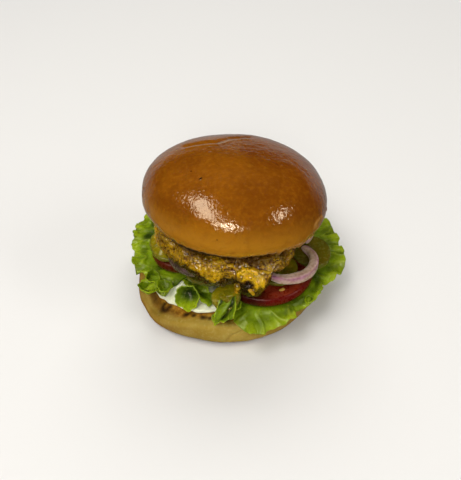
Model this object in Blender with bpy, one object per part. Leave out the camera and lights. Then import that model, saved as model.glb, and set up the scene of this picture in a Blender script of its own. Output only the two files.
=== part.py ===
"""A chicken burger: toasted heel, mayonnaise, leaf lettuce, tomato, pickles, red onion, fried chicken, crown.

Lengths are in millimetres up to MM, where a mesh or a place becomes metres. Directions are in degrees,
turning from +X towards +Y; -Y is the front of the burger. The burger rests on the heel's flat base at z = 0.
"""

import bmesh
import bpy
import numpy as np

MM = 0.001

# Heel: the bottom half of the bun.
HEEL_RADIUS = 53.5
HEEL_HEIGHT = 15.5
HEEL_BASE_SHARE = 0.88
HEEL_RIM_SHARE = 0.94
SHOULDER_DROP = 10.0
SHOULDER_SHARE = 0.62
FACE_SHARES = (0.76, 0.70, 0.62, 0.35)
DIRECTIONS = 48

# Fillings, from the heel up.
SEAT_GAP = 0.45
SAUCE_THICKNESS = 2.0
LEAF_MID_HEIGHT = 19.3
LEAF_THICKNESS = 1.2
LEAF_STEP = 4.0
SCRAP_THICKNESS = 1.1
CUP_DEPTH = 4.3
CUP_PLACE = (-22.2, -37.0, 22.6)
CUP_TILT = (0.70, -0.10, 0.0)
# Middle and half width across x, then y and z, of each row of the folded scrap, from its lip down to its tip.
FOLD_ROWS = (
    (-1.0, 3.9, -46.2, 28.2),
    (-1.5, 4.8, -49.1, 27.1),
    (-2.5, 5.4, -50.9, 24.4),
    (-3.6, 5.0, -51.6, 21.4),
    (-5.6, 2.8, -51.5, 18.2),
)
FOLD_SLANT = 1.4
TOMATO_BASE = 20.6
TOMATO_THICKNESS = 5.2
TOMATO_RADIUS = 26.6
TOMATO_RIGHT_PLACE = (19.6, -18.2)
PICKLE_BASE = 26.3
PICKLE_THICKNESS = 2.3
ONION_BASE = 29.2
ONION_HEIGHT = 5.4
ONION_WALL = 5.0
CHICKEN_BASE = 34.9
CHICKEN_RADIUS = 40.5
CHICKEN_PROFILE = (
    (0.50, 0.0),
    (0.80, 0.0),
    (0.87, 0.0),
    (0.95, 0.03),
    (1.0, 0.24),
    (0.995, 0.52),
    (0.96, 0.80),
    (0.86, 0.96),
    (0.50, 1.0),
)
KNOB_DIRECTION = -73.0
KNOB_DROP = 8.6
FRONT_SAG = 4.2
BACK_SAG = 4.0

# Crown: the top half of the bun, tilted down to the right and the back.
CROWN_RADIUS = 48.5
CROWN_RISE = 26.0
CROWN_SKIRT = 7.7
CROWN_SQUARENESS = 2.4
CROWN_CENTRE = (4.8, 0.8, 58.8)
CROWN_TILT = (-0.12, 0.11, 0.0)

# Name, long and short half-axis, direction of the long one, place and tilt of each pickle slice.
PICKLES = (
    ("pickle_front", 7.8, 7.9, 0.0, (-1.4, -41.3, 24.9), (0.20, -0.20, 0.0)),
    ("pickle_under", 12.8, 9.4, 0.0, (-10.2, -24.4, PICKLE_BASE), (0.0, 0.0, 0.0)),
    ("pickle_left", 15.0, 11.0, 86.0, (-33.0, 1.5, PICKLE_BASE), (0.0, 0.0, 0.0)),
    ("pickle_inner", 11.4, 11.0, 50.0, (26.0, -24.5, PICKLE_BASE), (0.0, 0.0, 0.0)),
    ("pickle_right", 12.8, 11.0, -78.0, (45.6, -10.8, 26.1), (0.0, 0.04, 0.0)),
)

COLOURS = {
    "heel": (0.52, 0.33, 0.11),
    "crown": (0.33, 0.12, 0.015),
    "mayonnaise": (0.80, 0.80, 0.66),
    "lettuce": (0.16, 0.27, 0.02),
    "tomato": (0.22, 0.02, 0.01),
    "pickle": (0.16, 0.15, 0.015),
    "red onion": (0.40, 0.16, 0.20),
    "chicken": (0.42, 0.20, 0.02),
}
ROUGHNESS = {
    "heel": 0.75,
    "crown": 0.30,
    "mayonnaise": 0.35,
    "lettuce": 0.40,
    "tomato": 0.25,
    "pickle": 0.25,
    "red onion": 0.30,
    "chicken": 0.45,
}


def smooth(value, low, high):
    """0 below low, 1 above high, and a soft step between."""
    t = np.clip((value - low) / (high - low), 0.0, 1.0)
    return t * t * (3.0 - 2.0 * t)


def near(angle, centre, width):
    """1 in one direction, fading to 0 over about the given width in degrees."""
    gap = (angle - centre + 180.0) % 360.0 - 180.0
    return np.exp(-((gap / width) ** 2))


def wave(angle, count, start):
    """count waves to the full turn, with a crest at start."""
    return np.cos(np.radians((angle - start) * count))


def turn(count):
    """count directions once round, as a column."""
    return np.linspace(0.0, 360.0, count, endpoint=False)


def polar(radius, angle, height):
    """Points from polar radius, direction and height, which broadcast together."""
    radius, angle, height = np.broadcast_arrays(radius, angle, height)
    turned = np.radians(angle)
    return np.stack([radius * np.cos(turned), radius * np.sin(turned), height], -1)


def clear_scene():
    for item in list(bpy.data.objects):
        bpy.data.objects.remove(item, do_unlink=True)


def material(name):
    """One plain Principled material for each kind of food."""
    made = bpy.data.materials.get(name)
    if made is None:
        made = bpy.data.materials.new(name)
        made.use_nodes = True
        shader = made.node_tree.nodes["Principled BSDF"]
        shader.inputs["Base Color"].default_value = (*COLOURS[name], 1.0)
        shader.inputs["Roughness"].default_value = ROUGHNESS[name]
        shader.inputs["Metallic"].default_value = 0.0
    return made


def add_object(name, shape, food, place=(0, 0, 0), tilt=(0, 0, 0)):
    """A named, smooth-shaded object from a bmesh, placed in millimetres under the burger's empty."""
    bmesh.ops.recalc_face_normals(shape, faces=shape.faces)
    mesh = bpy.data.meshes.new(name)
    shape.to_mesh(mesh)
    shape.free()
    mesh.shade_smooth()
    mesh.materials.append(material(food))
    made = bpy.data.objects.new(name, mesh)
    made.location = [along * MM for along in place]
    made.rotation_euler = tilt
    made.parent = bpy.data.objects["burger"]
    bpy.context.scene.collection.objects.link(made)
    return made


def loft(rings, bottom=None, top=None):
    """A closed body through rings of points, each (count, 3), with an end point or a flat cap at each end."""
    shape = bmesh.new()
    loops = [[shape.verts.new(point * MM) for point in ring] for ring in rings]
    count = len(loops[0])
    for lower, upper in zip(loops, loops[1:]):
        for i in range(count):
            j = (i + 1) % count
            shape.faces.new((lower[i], lower[j], upper[j], upper[i]))
    for loop, end in ((loops[0], bottom), (loops[-1], top)):
        if end is None:
            shape.faces.new(loop)
            continue
        tip = shape.verts.new(np.asarray(end) * MM)
        for i in range(count):
            shape.faces.new((loop[i], loop[(i + 1) % count], tip))
    return shape


def sheet(points):
    """An open surface from a grid of points, (rows, columns, 3)."""
    shape = bmesh.new()
    grid = [[shape.verts.new(point * MM) for point in row] for row in points]
    for lower, upper in zip(grid, grid[1:]):
        for i in range(len(lower) - 1):
            shape.faces.new((lower[i], lower[i + 1], upper[i + 1], upper[i]))
    return shape


def thicken(leaf, thickness):
    """A leaf's body: half of its thickness to each side of the surface."""
    solidify = leaf.modifiers.new("thickness", "SOLIDIFY")
    solidify.thickness = thickness * MM
    solidify.offset = 0.0
    return leaf


# Heel and sauce


def shoulder_drop(angle):
    """How far the toasted face sinks towards its edge: the heel is pressed down at its left."""
    turned = angle % 360.0
    return SHOULDER_DROP * smooth(turned, 95.0, 185.0) * (1.0 - smooth(turned, 213.0, 253.0))


def heel_edge(angle):
    return HEEL_RADIUS * (1.0 + 0.008 * wave(angle, 2, 30.0) + 0.006 * wave(angle, 5, 80.0))


def heel_face(radius, angle):
    """Height of the toasted face."""
    share = radius / heel_edge(angle)
    sunk = shoulder_drop(angle) * smooth(share, SHOULDER_SHARE, 1.0)
    return HEEL_HEIGHT - sunk - 0.9 * smooth(share, 0.85, HEEL_RIM_SHARE)


def heel():
    angle = turn(DIRECTIONS)
    edge = heel_edge(angle)
    rim = heel_face(edge * HEEL_RIM_SHARE, angle)
    rings = [polar(edge * HEEL_BASE_SHARE, angle, 0.0)]
    for lift in (-60.0, -30.0, 0.0, 30.0, 62.0):
        turned = np.radians(lift)
        inset = HEEL_BASE_SHARE if lift < 0.0 else HEEL_RIM_SHARE
        share = inset + (1.0 - inset) * np.cos(turned)
        rings.append(polar(edge * share, angle, rim * (0.5 + 0.5 * np.sin(turned))))
    for share in (HEEL_RIM_SHARE, 0.88, 0.82, *FACE_SHARES):
        rings.append(polar(edge * share, angle, heel_face(edge * share, angle)))
    add_object("bun_bottom", loft(rings, top=(0.0, 0.0, HEEL_HEIGHT)), "heel")


def sauce_edge(angle):
    """The mayonnaise reaches furthest at the front left."""
    turned = angle % 360.0
    reach = 42.0 + 3.0 * smooth(turned, 185.0, 205.0) * (1.0 - smooth(turned, 252.0, 268.0))
    return reach + 0.5 * wave(angle, 9, 10.0)


def sauce():
    """A layer that follows the toasted face at a small gap."""
    angle = turn(DIRECTIONS)
    inner = [heel_edge(angle) * share for share in FACE_SHARES]
    edge = sauce_edge(angle)
    under = [(radius, 0.0) for radius in reversed(inner)]
    over = [(radius, 1.0) for radius in inner]
    rings = []
    for radius, lift in (*under, (edge * 0.98, 0.0), (edge, 0.5), (edge * 0.975, 0.9), *over):
        rings.append(polar(radius, angle, heel_face(radius, angle) + SEAT_GAP + SAUCE_THICKNESS * lift))
    base = HEEL_HEIGHT + SEAT_GAP
    add_object("mayonnaise", loft(rings, (0, 0, base), (0, 0, base + SAUCE_THICKNESS)), "mayonnaise")


# Lettuce


def tomato_reach(angle):
    """How far the right tomato slice reaches from the burger's middle in each direction."""
    place = np.hypot(*TOMATO_RIGHT_PLACE)
    aside = np.radians(angle - np.degrees(np.arctan2(TOMATO_RIGHT_PLACE[1], TOMATO_RIGHT_PLACE[0])))
    inside = np.maximum(TOMATO_RADIUS**2 - (place * np.sin(aside)) ** 2, 0.0)
    return place * np.cos(aside) + np.sqrt(inside)


def leaf_right_edge(angle):
    reach = 58.2 + 8.6 * smooth(angle, -30.0, -8.0) - 5.0 * smooth(angle, 30.0, 80.0)
    lobes = 0.8 * near(angle, -74.0, 6.0) + 1.0 * near(angle, -57.0, 4.0) + 1.2 * near(angle, -35.0, 4.0)
    notches = 9.0 * near(angle, -90.0, 6.0) + 1.5 * near(angle, -53.0, 2.5) + 1.5 * near(angle, 6.0, 4.0)
    return reach + lobes - notches + 0.8 * wave(angle, 17, 3.0)


def leaf_right_bed(angle):
    """How far the leaf is pressed flat, under the tomato."""
    return np.maximum(tomato_reach(angle) + 0.5, 42.0)


def leaf_right_wave(angle):
    return (1.2 + 0.9 * smooth(angle, -40.0, 0.0)) * wave(angle, 15, -10.0)


def leaf_right_droop(angle):
    """This leaf hangs over the heel at the front and rises at the back."""
    return 1.2 + 3.6 * near(angle, -72.0, 16.0) - 4.6 * smooth(angle, 30.0, 85.0)


def leaf_left_edge(angle):
    reach = 53.0 + 8.0 * near(angle, 150.0, 24.0) + 4.5 * near(angle, 112.0, 18.0)
    notches = 4.0 * near(angle, 196.0, 3.5) + 9.0 * smooth(angle, 208.0, 219.0)
    return reach - notches + 0.7 * wave(angle, 19, 0.0)


def leaf_left_bed(angle):
    return 44.5 - 11.0 * smooth(angle, 190.0, 212.0)


def leaf_left_wave(angle):
    return 1.3 * wave(angle, 16, 4.0)


def leaf_left_droop(angle):
    """This leaf rises at the back and sinks onto the heel's low shoulder at the front left."""
    rise = 3.4 * (1.0 - smooth(angle, 105.0, 150.0)) + 1.0 * near(angle, 160.0, 20.0)
    return 2.4 * smooth(angle, 188.0, 210.0) - rise


def leaf(name, first, last, edge, bed, ruffle, droop):
    """A leaf that runs flat from the middle to its bed, then droops and waves more towards its free edge."""
    angle = np.linspace(first, last, int((last - first) / LEAF_STEP) + 1)
    rows = []
    for pressed in (0.06, 0.4, 0.75, 1.0):
        rows.append(polar(bed(angle) * pressed, angle, LEAF_MID_HEIGHT))
    for free in (0.3, 0.55, 0.78, 1.0):
        radius = bed(angle) + (edge(angle) - bed(angle)) * free
        height = LEAF_MID_HEIGHT + free**1.5 * ruffle(angle) - free**2 * droop(angle)
        rows.append(polar(radius, angle, height))
    thicken(add_object(name, sheet(rows), "lettuce"), LEAF_THICKNESS)


def lettuce_cup():
    """A curled leaf tip, hollow towards the front, with a scalloped rim."""
    angle = turn(15)
    rim = 6.1 + 0.5 * wave(angle, 5, 270.0) + 0.9 * near(angle, 272.0, 30.0)
    shape = bmesh.new()
    loops = []
    for share in (0.4, 0.75, 1.0):
        row = polar(rim * share, angle, -CUP_DEPTH * (1.0 - share**2))
        loops.append([shape.verts.new(point * MM) for point in row])
    shape.faces.new(loops[0])
    for lower, upper in zip(loops, loops[1:]):
        for i in range(len(lower)):
            j = (i + 1) % len(lower)
            shape.faces.new((lower[i], lower[j], upper[j], upper[i]))
    thicken(add_object("lettuce_cup", shape, "lettuce", CUP_PLACE, CUP_TILT), SCRAP_THICKNESS)


def lettuce_fold():
    """A scrap of leaf that laps over the front pickle and hangs to a tip at the heel's rim."""
    across = np.linspace(-1.0, 1.0, 5)
    rows = []
    for middle, half, y, z in FOLD_ROWS:
        bulge = 0.9 * across**2 - 0.35 * np.cos(6.0 * across)
        height = z + FOLD_SLANT * across + 0.2 * np.cos(6.0 * across)
        rows.append(np.stack([middle + half * across, y + bulge, height], -1))
    thicken(add_object("lettuce_fold", sheet(rows), "lettuce"), SCRAP_THICKNESS)


def lettuce_shred():
    """A narrow scrap that lies from under the pickles out onto the mayonnaise."""
    start, end = np.array((-22.5, -20.5, 19.6)), np.array((-8.8, -39.4, 19.4))
    run = (end - start) / np.linalg.norm(end - start)
    side = np.array((-run[1], run[0], 0.0))
    across = np.linspace(-1.0, 1.0, 5)[:, None]
    rows = []
    for along in np.linspace(0.0, 1.0, 7):
        half = 4.2 * (0.5 + 0.5 * np.sin(np.pi * (0.1 + 0.8 * along)))
        lift = 0.7 * across**2 + 0.25 * np.cos(9.0 * along)
        rows.append(start + (end - start) * along + side * half * across + np.array((0.0, 0.0, 1.0)) * lift)
    thicken(add_object("lettuce_shred", sheet(rows), "lettuce"), SCRAP_THICKNESS)


def lettuce():
    leaf("lettuce_right", -88.0, 96.0, leaf_right_edge, leaf_right_bed, leaf_right_wave, leaf_right_droop)
    leaf("lettuce_left", 102.0, 219.0, leaf_left_edge, leaf_left_bed, leaf_left_wave, leaf_left_droop)
    lettuce_cup()
    lettuce_fold()
    lettuce_shred()


# Slices: tomato, pickle and red onion


def slice_rings(edge, angle, thickness, round_over):
    """Rings of a flat slice, cut faces below and above and a rounded skin between."""
    rings = [polar(edge * 0.5, angle, 0.0)]
    for inset, lift in ((1.0, 0.0), (0.15, 0.25), (0.0, 0.5), (0.15, 0.75), (1.0, 1.0)):
        rings.append(polar(edge - round_over * inset, angle, thickness * lift))
    rings.append(polar(edge * 0.5, angle, thickness))
    return rings


def add_slice(name, food, edge, angle, thickness, place, tilt=(0, 0, 0)):
    rings = slice_rings(edge, angle, thickness, 0.22 * thickness)
    add_object(name, loft(rings, (0, 0, 0), (0, 0, thickness)), food, place, tilt)


def oval(angle, long_half, short_half, direction):
    """Radius of an oval whose long half-axis points in the given direction."""
    turned = np.radians(angle - direction)
    return long_half * short_half / np.hypot(short_half * np.cos(turned), long_half * np.sin(turned))


def tomatoes():
    angle = turn(32)
    right = TOMATO_RADIUS * (1.0 + 0.008 * wave(angle, 3, 20.0))
    place = (*TOMATO_RIGHT_PLACE, TOMATO_BASE)
    add_slice("tomato_right", "tomato", right, angle, TOMATO_THICKNESS, place)
    left = oval(angle, 24.0, 19.5, 61.0)
    add_slice("tomato_left", "tomato", left, angle, TOMATO_THICKNESS, (-22.6, 5.6, TOMATO_BASE))


def pickles():
    angle = turn(22)
    wobble = 1.0 + 0.03 * wave(angle, 3, 40.0)
    for name, long_half, short_half, direction, place, tilt in PICKLES:
        edge = oval(angle, long_half, short_half, direction) * wobble
        add_slice(name, "pickle", edge, angle, PICKLE_THICKNESS, place, tilt)


def onion_section(size=1.0):
    """Corners of the rounded cut through an onion ring, as (outwards, up) pairs."""
    corners = np.radians(np.arange(8) * 45.0 + 22.5)
    outwards = np.sign(np.cos(corners)) * np.abs(np.cos(corners)) ** 0.6
    upwards = np.sign(np.sin(corners)) * np.abs(np.sin(corners)) ** 0.6
    return 0.5 * ONION_WALL * size * outwards, 0.5 * ONION_HEIGHT * size * upwards


def onion_arc(name, radius, first, last, place):
    """Part of a red onion ring, with tapered round ends."""
    angle = np.linspace(first, last, int((last - first) / 11.0) + 1)
    size = np.ones_like(angle)
    size[[0, -1]] = 0.55
    rings = []
    for direction, share in zip(angle, size):
        outwards, upwards = onion_section(share)
        rings.append(polar(radius + outwards, direction, upwards))
    ends = polar(radius, np.array([first - 4.0, last + 4.0]), 0.0)
    add_object(name, loft(rings, ends[0], ends[1]), "red onion", (*place, ONION_BASE + 0.5 * ONION_HEIGHT))


def onion_ring(name, radius, place):
    """A whole red onion ring."""
    outwards, upwards = onion_section()
    shape = bmesh.new()
    loops = []
    for direction in turn(30):
        loops.append([shape.verts.new(point * MM) for point in polar(radius + outwards, direction, upwards)])
    for lower, upper in zip(loops, loops[1:] + loops[:1]):
        for i in range(8):
            j = (i + 1) % 8
            shape.faces.new((lower[i], lower[j], upper[j], upper[i]))
    add_object(name, shape, "red onion", (*place, ONION_BASE + 0.5 * ONION_HEIGHT))


def onions():
    onion_arc("onion_front", 14.2, -136.0, 34.0, (31.2, -21.9))
    onion_arc("onion_back", 14.7, -44.0, 100.0, (32.4, 3.6))
    onion_ring("onion_left", 15.2, (-14.8, -12.6))


# Chicken and crown


def crown_underside(x, y):
    """Height of the plane of the crown's cut face."""
    middle = CROWN_CENTRE[2] - CROWN_SKIRT
    return middle - np.tan(CROWN_TILT[1]) * (x - CROWN_CENTRE[0]) + np.tan(CROWN_TILT[0]) * (y - CROWN_CENTRE[1])


def flat_near(angle, centre, width):
    """Like near, with a flat middle and steep sides."""
    gap = (angle - centre + 180.0) % 360.0 - 180.0
    return np.exp(-((gap / width) ** 4))


def knob(angle):
    """1 across the knob of crust at the front right, 0 elsewhere."""
    return flat_near(angle, KNOB_DIRECTION, 11.5)


def chicken_edge(angle, lift):
    """The fillet's outline, with a knob of crust that hangs at the front right."""
    edge = CHICKEN_RADIUS + 3.0 * near(angle, -46.0, 18.0) - 1.6 * near(angle, -150.0, 22.0)
    out = 6.0 * knob(angle) * (1.0 - smooth(lift, 0.35, 0.75))
    return edge + out + 0.5 * wave(angle, 7, 0.0)


def chicken_sag(angle):
    """How far the underside hangs at its edge."""
    sag = FRONT_SAG * flat_near(angle, -101.0, 13.0) + BACK_SAG * flat_near(angle, 127.0, 48.0)
    return sag + KNOB_DROP * knob(angle)


def chicken_top(x, y):
    """The top lies under the crown and falls away from it at the front."""
    return crown_underside(x, y) - 0.6 - 7.5 * smooth(-y, 0.0, 38.0) * smooth(x, -40.0, -10.0)


def chicken():
    angle = turn(44)
    rings = []
    for share, lift in CHICKEN_PROFILE:
        radius = chicken_edge(angle, lift) * share
        x, y = radius * np.cos(np.radians(angle)), radius * np.sin(np.radians(angle))
        low = CHICKEN_BASE - chicken_sag(angle) * smooth(share, 0.80, 0.95) * (1.0 - smooth(lift, 0.2, 0.7))
        rings.append(polar(radius, angle, low + (chicken_top(x, y) - low) * lift))
    top = (0.0, 0.0, chicken_top(0.0, 0.0))
    add_object("chicken_fillet", loft(rings, (0.0, 0.0, CHICKEN_BASE), top), "chicken")


def crown_edge(angle):
    flat = 0.02 * near(angle, 125.0, 30.0)
    full = 0.02 * near(angle, 55.0, 30.0)
    return CROWN_RADIUS * (1.0 - flat + full)


def crown():
    """A tilted dome with a rounded skirt and a flat cut face."""
    angle = turn(DIRECTIONS)
    edge = crown_edge(angle)
    rings = [polar(edge * 0.5, angle, -CROWN_SKIRT), polar(edge * 0.90, angle, -CROWN_SKIRT)]
    for part in (1.0, 0.6, 0.25):
        rings.append(polar(edge * (1.0 - 0.07 * part**2), angle, -CROWN_SKIRT * part))
    for rise in (8.0, 22.0, 36.0, 50.0, 62.0, 73.0, 82.0):
        turned = np.radians(rise)
        share = np.cos(turned) ** (2.0 / CROWN_SQUARENESS)
        rings.append(polar(edge * share, angle, CROWN_RISE * np.sin(turned) ** (2.0 / CROWN_SQUARENESS)))
    shape = loft(rings, (0.0, 0.0, -CROWN_SKIRT), (0.0, 0.0, CROWN_RISE))
    add_object("bun_top", shape, "crown", CROWN_CENTRE, CROWN_TILT)


def main():
    clear_scene()
    bpy.context.scene.collection.objects.link(bpy.data.objects.new("burger", None))
    heel()
    sauce()
    lettuce()
    tomatoes()
    pickles()
    onions()
    chicken()
    crown()


main()
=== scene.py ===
"""A chicken burger on a pale floor: every solid of the frame is replaced by a piece with its crust, folds and relief.

Lengths are in millimetres up to MM, where a mesh or a place becomes metres. Directions are in degrees,
turning from +X towards +Y; -Y is the front of the burger. The burger rests on the heel's flat base at z = 0.
"""

import itertools
import math

import bpy
import numpy as np
from mathutils import Euler, Matrix, Vector


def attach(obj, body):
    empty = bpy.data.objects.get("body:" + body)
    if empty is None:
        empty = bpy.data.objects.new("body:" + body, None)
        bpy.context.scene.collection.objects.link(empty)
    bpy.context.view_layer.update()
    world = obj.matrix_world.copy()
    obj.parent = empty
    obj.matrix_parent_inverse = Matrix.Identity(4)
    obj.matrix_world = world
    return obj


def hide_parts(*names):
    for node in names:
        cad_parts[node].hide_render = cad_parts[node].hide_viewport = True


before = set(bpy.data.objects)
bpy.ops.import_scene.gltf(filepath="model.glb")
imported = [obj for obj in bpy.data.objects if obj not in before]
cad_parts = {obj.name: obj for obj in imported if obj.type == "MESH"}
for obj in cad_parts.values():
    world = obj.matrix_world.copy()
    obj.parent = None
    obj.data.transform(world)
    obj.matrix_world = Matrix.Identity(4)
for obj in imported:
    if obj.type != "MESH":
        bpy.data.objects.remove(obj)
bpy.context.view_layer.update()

MM = 0.001

# Camera: the point it looks at, its distance, and its angles in radians.
LOOK_AT = (1.75, 33.5, 0.0)
CAMERA_DISTANCE = 354.5
CAMERA_RISE = 0.709
CAMERA_ROLL = -0.043
CAMERA_LENS = 41.25

# Heel: the bottom half of the bun.
HEEL_RADIUS = 53.5
HEEL_HEIGHT = 15.5
HEEL_BASE_SHARE = 0.88
HEEL_RIM_SHARE = 0.94
SHOULDER_DROP = 10.0
SHOULDER_SHARE = 0.62

# Fillings, from the heel up.
SEAT_GAP = 0.45
SAUCE_THICKNESS = 2.0
LEAF_MID_HEIGHT = 19.3
LEAF_THICKNESS = 0.7
SCRAP_THICKNESS = 0.6
FRILL_COUNT = 34
FRILL_HEIGHT = 1.5
FRILL_LEAN = 1.0
RIPPLE_COUNT = 53
RIPPLE_HEIGHT = 0.8
CUP_DEPTH = 4.6
CUP_PLACE = (-22.2, -37.0, 22.6)
CUP_TILT = (0.70, -0.10, 0.0)
TOMATO_BASE = 20.6
TOMATO_THICKNESS = 5.2
TOMATO_RADIUS = 26.6
TOMATO_RIGHT_PLACE = (19.6, -18.2)
PICKLE_BASE = 26.3
PICKLE_THICKNESS = 2.3
ONION_BASE = 29.2
ONION_HEIGHT = 5.4
ONION_WALL = 5.0
CHICKEN_BASE = 34.9
CHICKEN_RADIUS = 40.5
CHICKEN_PROFILE = (
    (0.02, 0.0),
    (0.50, 0.0),
    (0.80, 0.0),
    (0.87, 0.0),
    (0.95, 0.03),
    (1.0, 0.24),
    (0.995, 0.52),
    (0.96, 0.80),
    (0.86, 0.96),
    (0.50, 1.0),
    (0.02, 1.0),
)
KNOB_DIRECTION = -73.0
KNOB_DROP = 8.6
BURNT_SPOT = (9.4, -44.6, 36.4)
COATING_DRIPS = (
    ("coating_drip_left", (4.2, -43.0, 37.0), (3.6, -43.6, 30.8), 1.4),
    ("coating_drip_right", (10.4, -44.6, 34.6), (12.2, -45.2, 30.6), 1.3),
)
FRONT_SAG = 4.2
BACK_SAG = 4.0

# Crown: the top half of the bun, tilted down to the right and the back.
CROWN_RADIUS = 48.5
CROWN_RISE = 26.0
CROWN_SKIRT = 7.7
CROWN_SQUARENESS = 2.4
CROWN_CENTRE = (4.8, 0.8, 58.8)
CROWN_TILT = (-0.12, 0.11, 0.0)
CROWN_FOLD = ((-26.0, 10.0), (-10.0, 12.0), (-3.0, 19.0), (6.0, 22.0))

# Place and size of each burnt speck, from the crown's middle.
CROWN_FLECKS = (
    (-47.4, -9.7, 3.3, 0.9),
    (-46.8, -8.3, 6.6, 0.7),
    (-47.4, -13.0, 0.6, 0.8),
    (-47.8, -4.0, 2.0, 0.6),
    (46.3, -14.5, 2.6, 0.9),
    (10.3, -19.6, 24.9, 0.7),
    (-18.6, -24.6, 22.0, 0.8),
    (2.7, 17.2, 25.2, 0.6),
)

# Name, long and short half-axis, direction of the long one, place, tilt and painted shade of each pickle slice.
PICKLES = (
    ("pickle_front", 7.8, 7.9, 0.0, (-1.4, -41.3, 24.9), (0.20, -0.20, 0.0), 0.0),
    ("pickle_under", 12.8, 9.4, 0.0, (-10.2, -24.4, PICKLE_BASE), (0.0, 0.0, 0.0), 0.8),
    ("pickle_left", 15.0, 11.0, 86.0, (-33.0, 1.5, PICKLE_BASE), (0.0, 0.0, 0.0), 0.0),
    ("pickle_inner", 11.4, 11.0, 50.0, (26.0, -24.5, PICKLE_BASE), (0.0, 0.0, 0.0), 0.4),
    ("pickle_right", 12.8, 11.0, -78.0, (45.6, -10.8, 26.1), (0.0, 0.04, 0.0), 0.65),
)

# Brightness of the room, of its backdrop, and of the horizon that glossy crust mirrors.
ROOM_GLOW = 0.10
BACKDROP_GLOW = 0.80
HORIZON_GLOW = 0.31

RANDOM = np.random.default_rng(11)
SHUFFLE = RANDOM.permutation(256)
ARROWS = RANDOM.normal(size=(256, 3))
ARROWS /= np.linalg.norm(ARROWS, axis=1, keepdims=True)
SPOTS = RANDOM.random((256, 3))


# Numbers: steps, waves and noise


def smooth(value, low, high):
    """0 at low, 1 at high, and a soft step between."""
    t = np.clip((value - low) / (high - low), 0.0, 1.0)
    return t * t * (3.0 - 2.0 * t)


def near(angle, centre, width):
    """1 in one direction, fading to 0 over about the given width in degrees."""
    gap = (angle - centre + 180.0) % 360.0 - 180.0
    return np.exp(-((gap / width) ** 2))


def flat_near(angle, centre, width):
    """Like near, with a flat middle and steep sides."""
    gap = (angle - centre + 180.0) % 360.0 - 180.0
    return np.exp(-((gap / width) ** 4))


def wave(angle, count, start):
    """count waves to the full turn, with a crest at start."""
    return np.cos(np.radians((angle - start) * count))


def turn(count):
    """count directions once round."""
    return np.linspace(0.0, 360.0, count, endpoint=False)


def polar(radius, angle, height):
    """Points from polar radius, direction and height, which broadcast together."""
    radius, angle, height = np.broadcast_arrays(radius, angle, height)
    turned = np.radians(angle)
    return np.stack([radius * np.cos(turned), radius * np.sin(turned), height], -1)


def lattice_key(cell):
    """A number from 0 to 255 for each whole-number cell."""
    key = SHUFFLE[cell[..., 0] & 255]
    key = SHUFFLE[(key + cell[..., 1]) & 255]
    return SHUFFLE[(key + cell[..., 2]) & 255]


def noise(points, size, seed=0):
    """Soft noise from about -1 to 1, with blobs of the given size in millimetres."""
    at = points / size + 31.7 * seed
    cell = np.floor(at).astype(int)
    part = at - cell
    ease = part**3 * (part * (part * 6.0 - 15.0) + 10.0)
    total = np.zeros(at.shape[:-1])
    for corner in itertools.product((0, 1), repeat=3):
        corner = np.array(corner)
        weight = np.prod(np.where(corner, ease, 1.0 - ease), -1)
        total += weight * ((part - corner) * ARROWS[lattice_key(cell + corner)]).sum(-1)
    return 1.7 * total


def layers(points, size, seed=0, count=3):
    """Noise of the given size with finer layers on it."""
    total = 0.0
    for layer in range(count):
        total = total + noise(points, size * 0.5**layer, seed + layer) * 0.5**layer
    return total


def grains(points, size, seed=0):
    """Distance to the nearest of scattered points about one size apart, in sizes."""
    at = points / size + 17.3 * seed
    cell = np.floor(at).astype(int)
    nearest = np.full(at.shape[:-1], 9.0)
    for step in itertools.product((-1, 0, 1), repeat=3):
        there = cell + np.array(step)
        spot = there + SPOTS[lattice_key(there)]
        nearest = np.minimum(nearest, np.linalg.norm(at - spot, axis=-1))
    return nearest


def path_distance(across, up, path):
    """Distance from points of a flat map to a path of straight runs."""
    nearest = np.full(np.broadcast(across, up).shape, 1e9)
    for (x0, y0), (x1, y1) in zip(path, path[1:]):
        run = (x1 - x0) ** 2 + (y1 - y0) ** 2
        along = np.clip(((across - x0) * (x1 - x0) + (up - y0) * (y1 - y0)) / run, 0.0, 1.0)
        gap = np.hypot(across - x0 - along * (x1 - x0), up - y0 - along * (y1 - y0))
        nearest = np.minimum(nearest, gap)
    return nearest


# Meshes


def ring_faces(rows, columns):
    """Quads between rows of vertices that close round on themselves."""
    start = np.arange(rows - 1)[:, None] * columns
    here = np.arange(columns)[None, :]
    there = (here + 1) % columns
    corners = (start + here, start + there, start + columns + there, start + columns + here)
    return np.stack(corners, -1).reshape(-1, 4)


def sheet_faces(rows, columns):
    """Quads between open rows of vertices."""
    start = np.arange(rows - 1)[:, None] * columns + np.arange(columns - 1)[None, :]
    corners = (start, start + 1, start + columns + 1, start + columns)
    return np.stack(corners, -1).reshape(-1, 4)


def normals(points, closed):
    """Unit normals of a grid of points, outward where rows rise and columns turn anticlockwise."""
    across = np.gradient(points, axis=1)
    if closed:
        across = 0.5 * (np.roll(points, -1, 1) - np.roll(points, 1, 1))
    normal = np.cross(across, np.gradient(points, axis=0))
    length = np.linalg.norm(normal, axis=-1, keepdims=True)
    return normal / np.maximum(length, 1e-9)


def push(points, height, closed=True):
    """The grid moved along its normals."""
    return points + normals(points, closed) * height[..., None]


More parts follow.
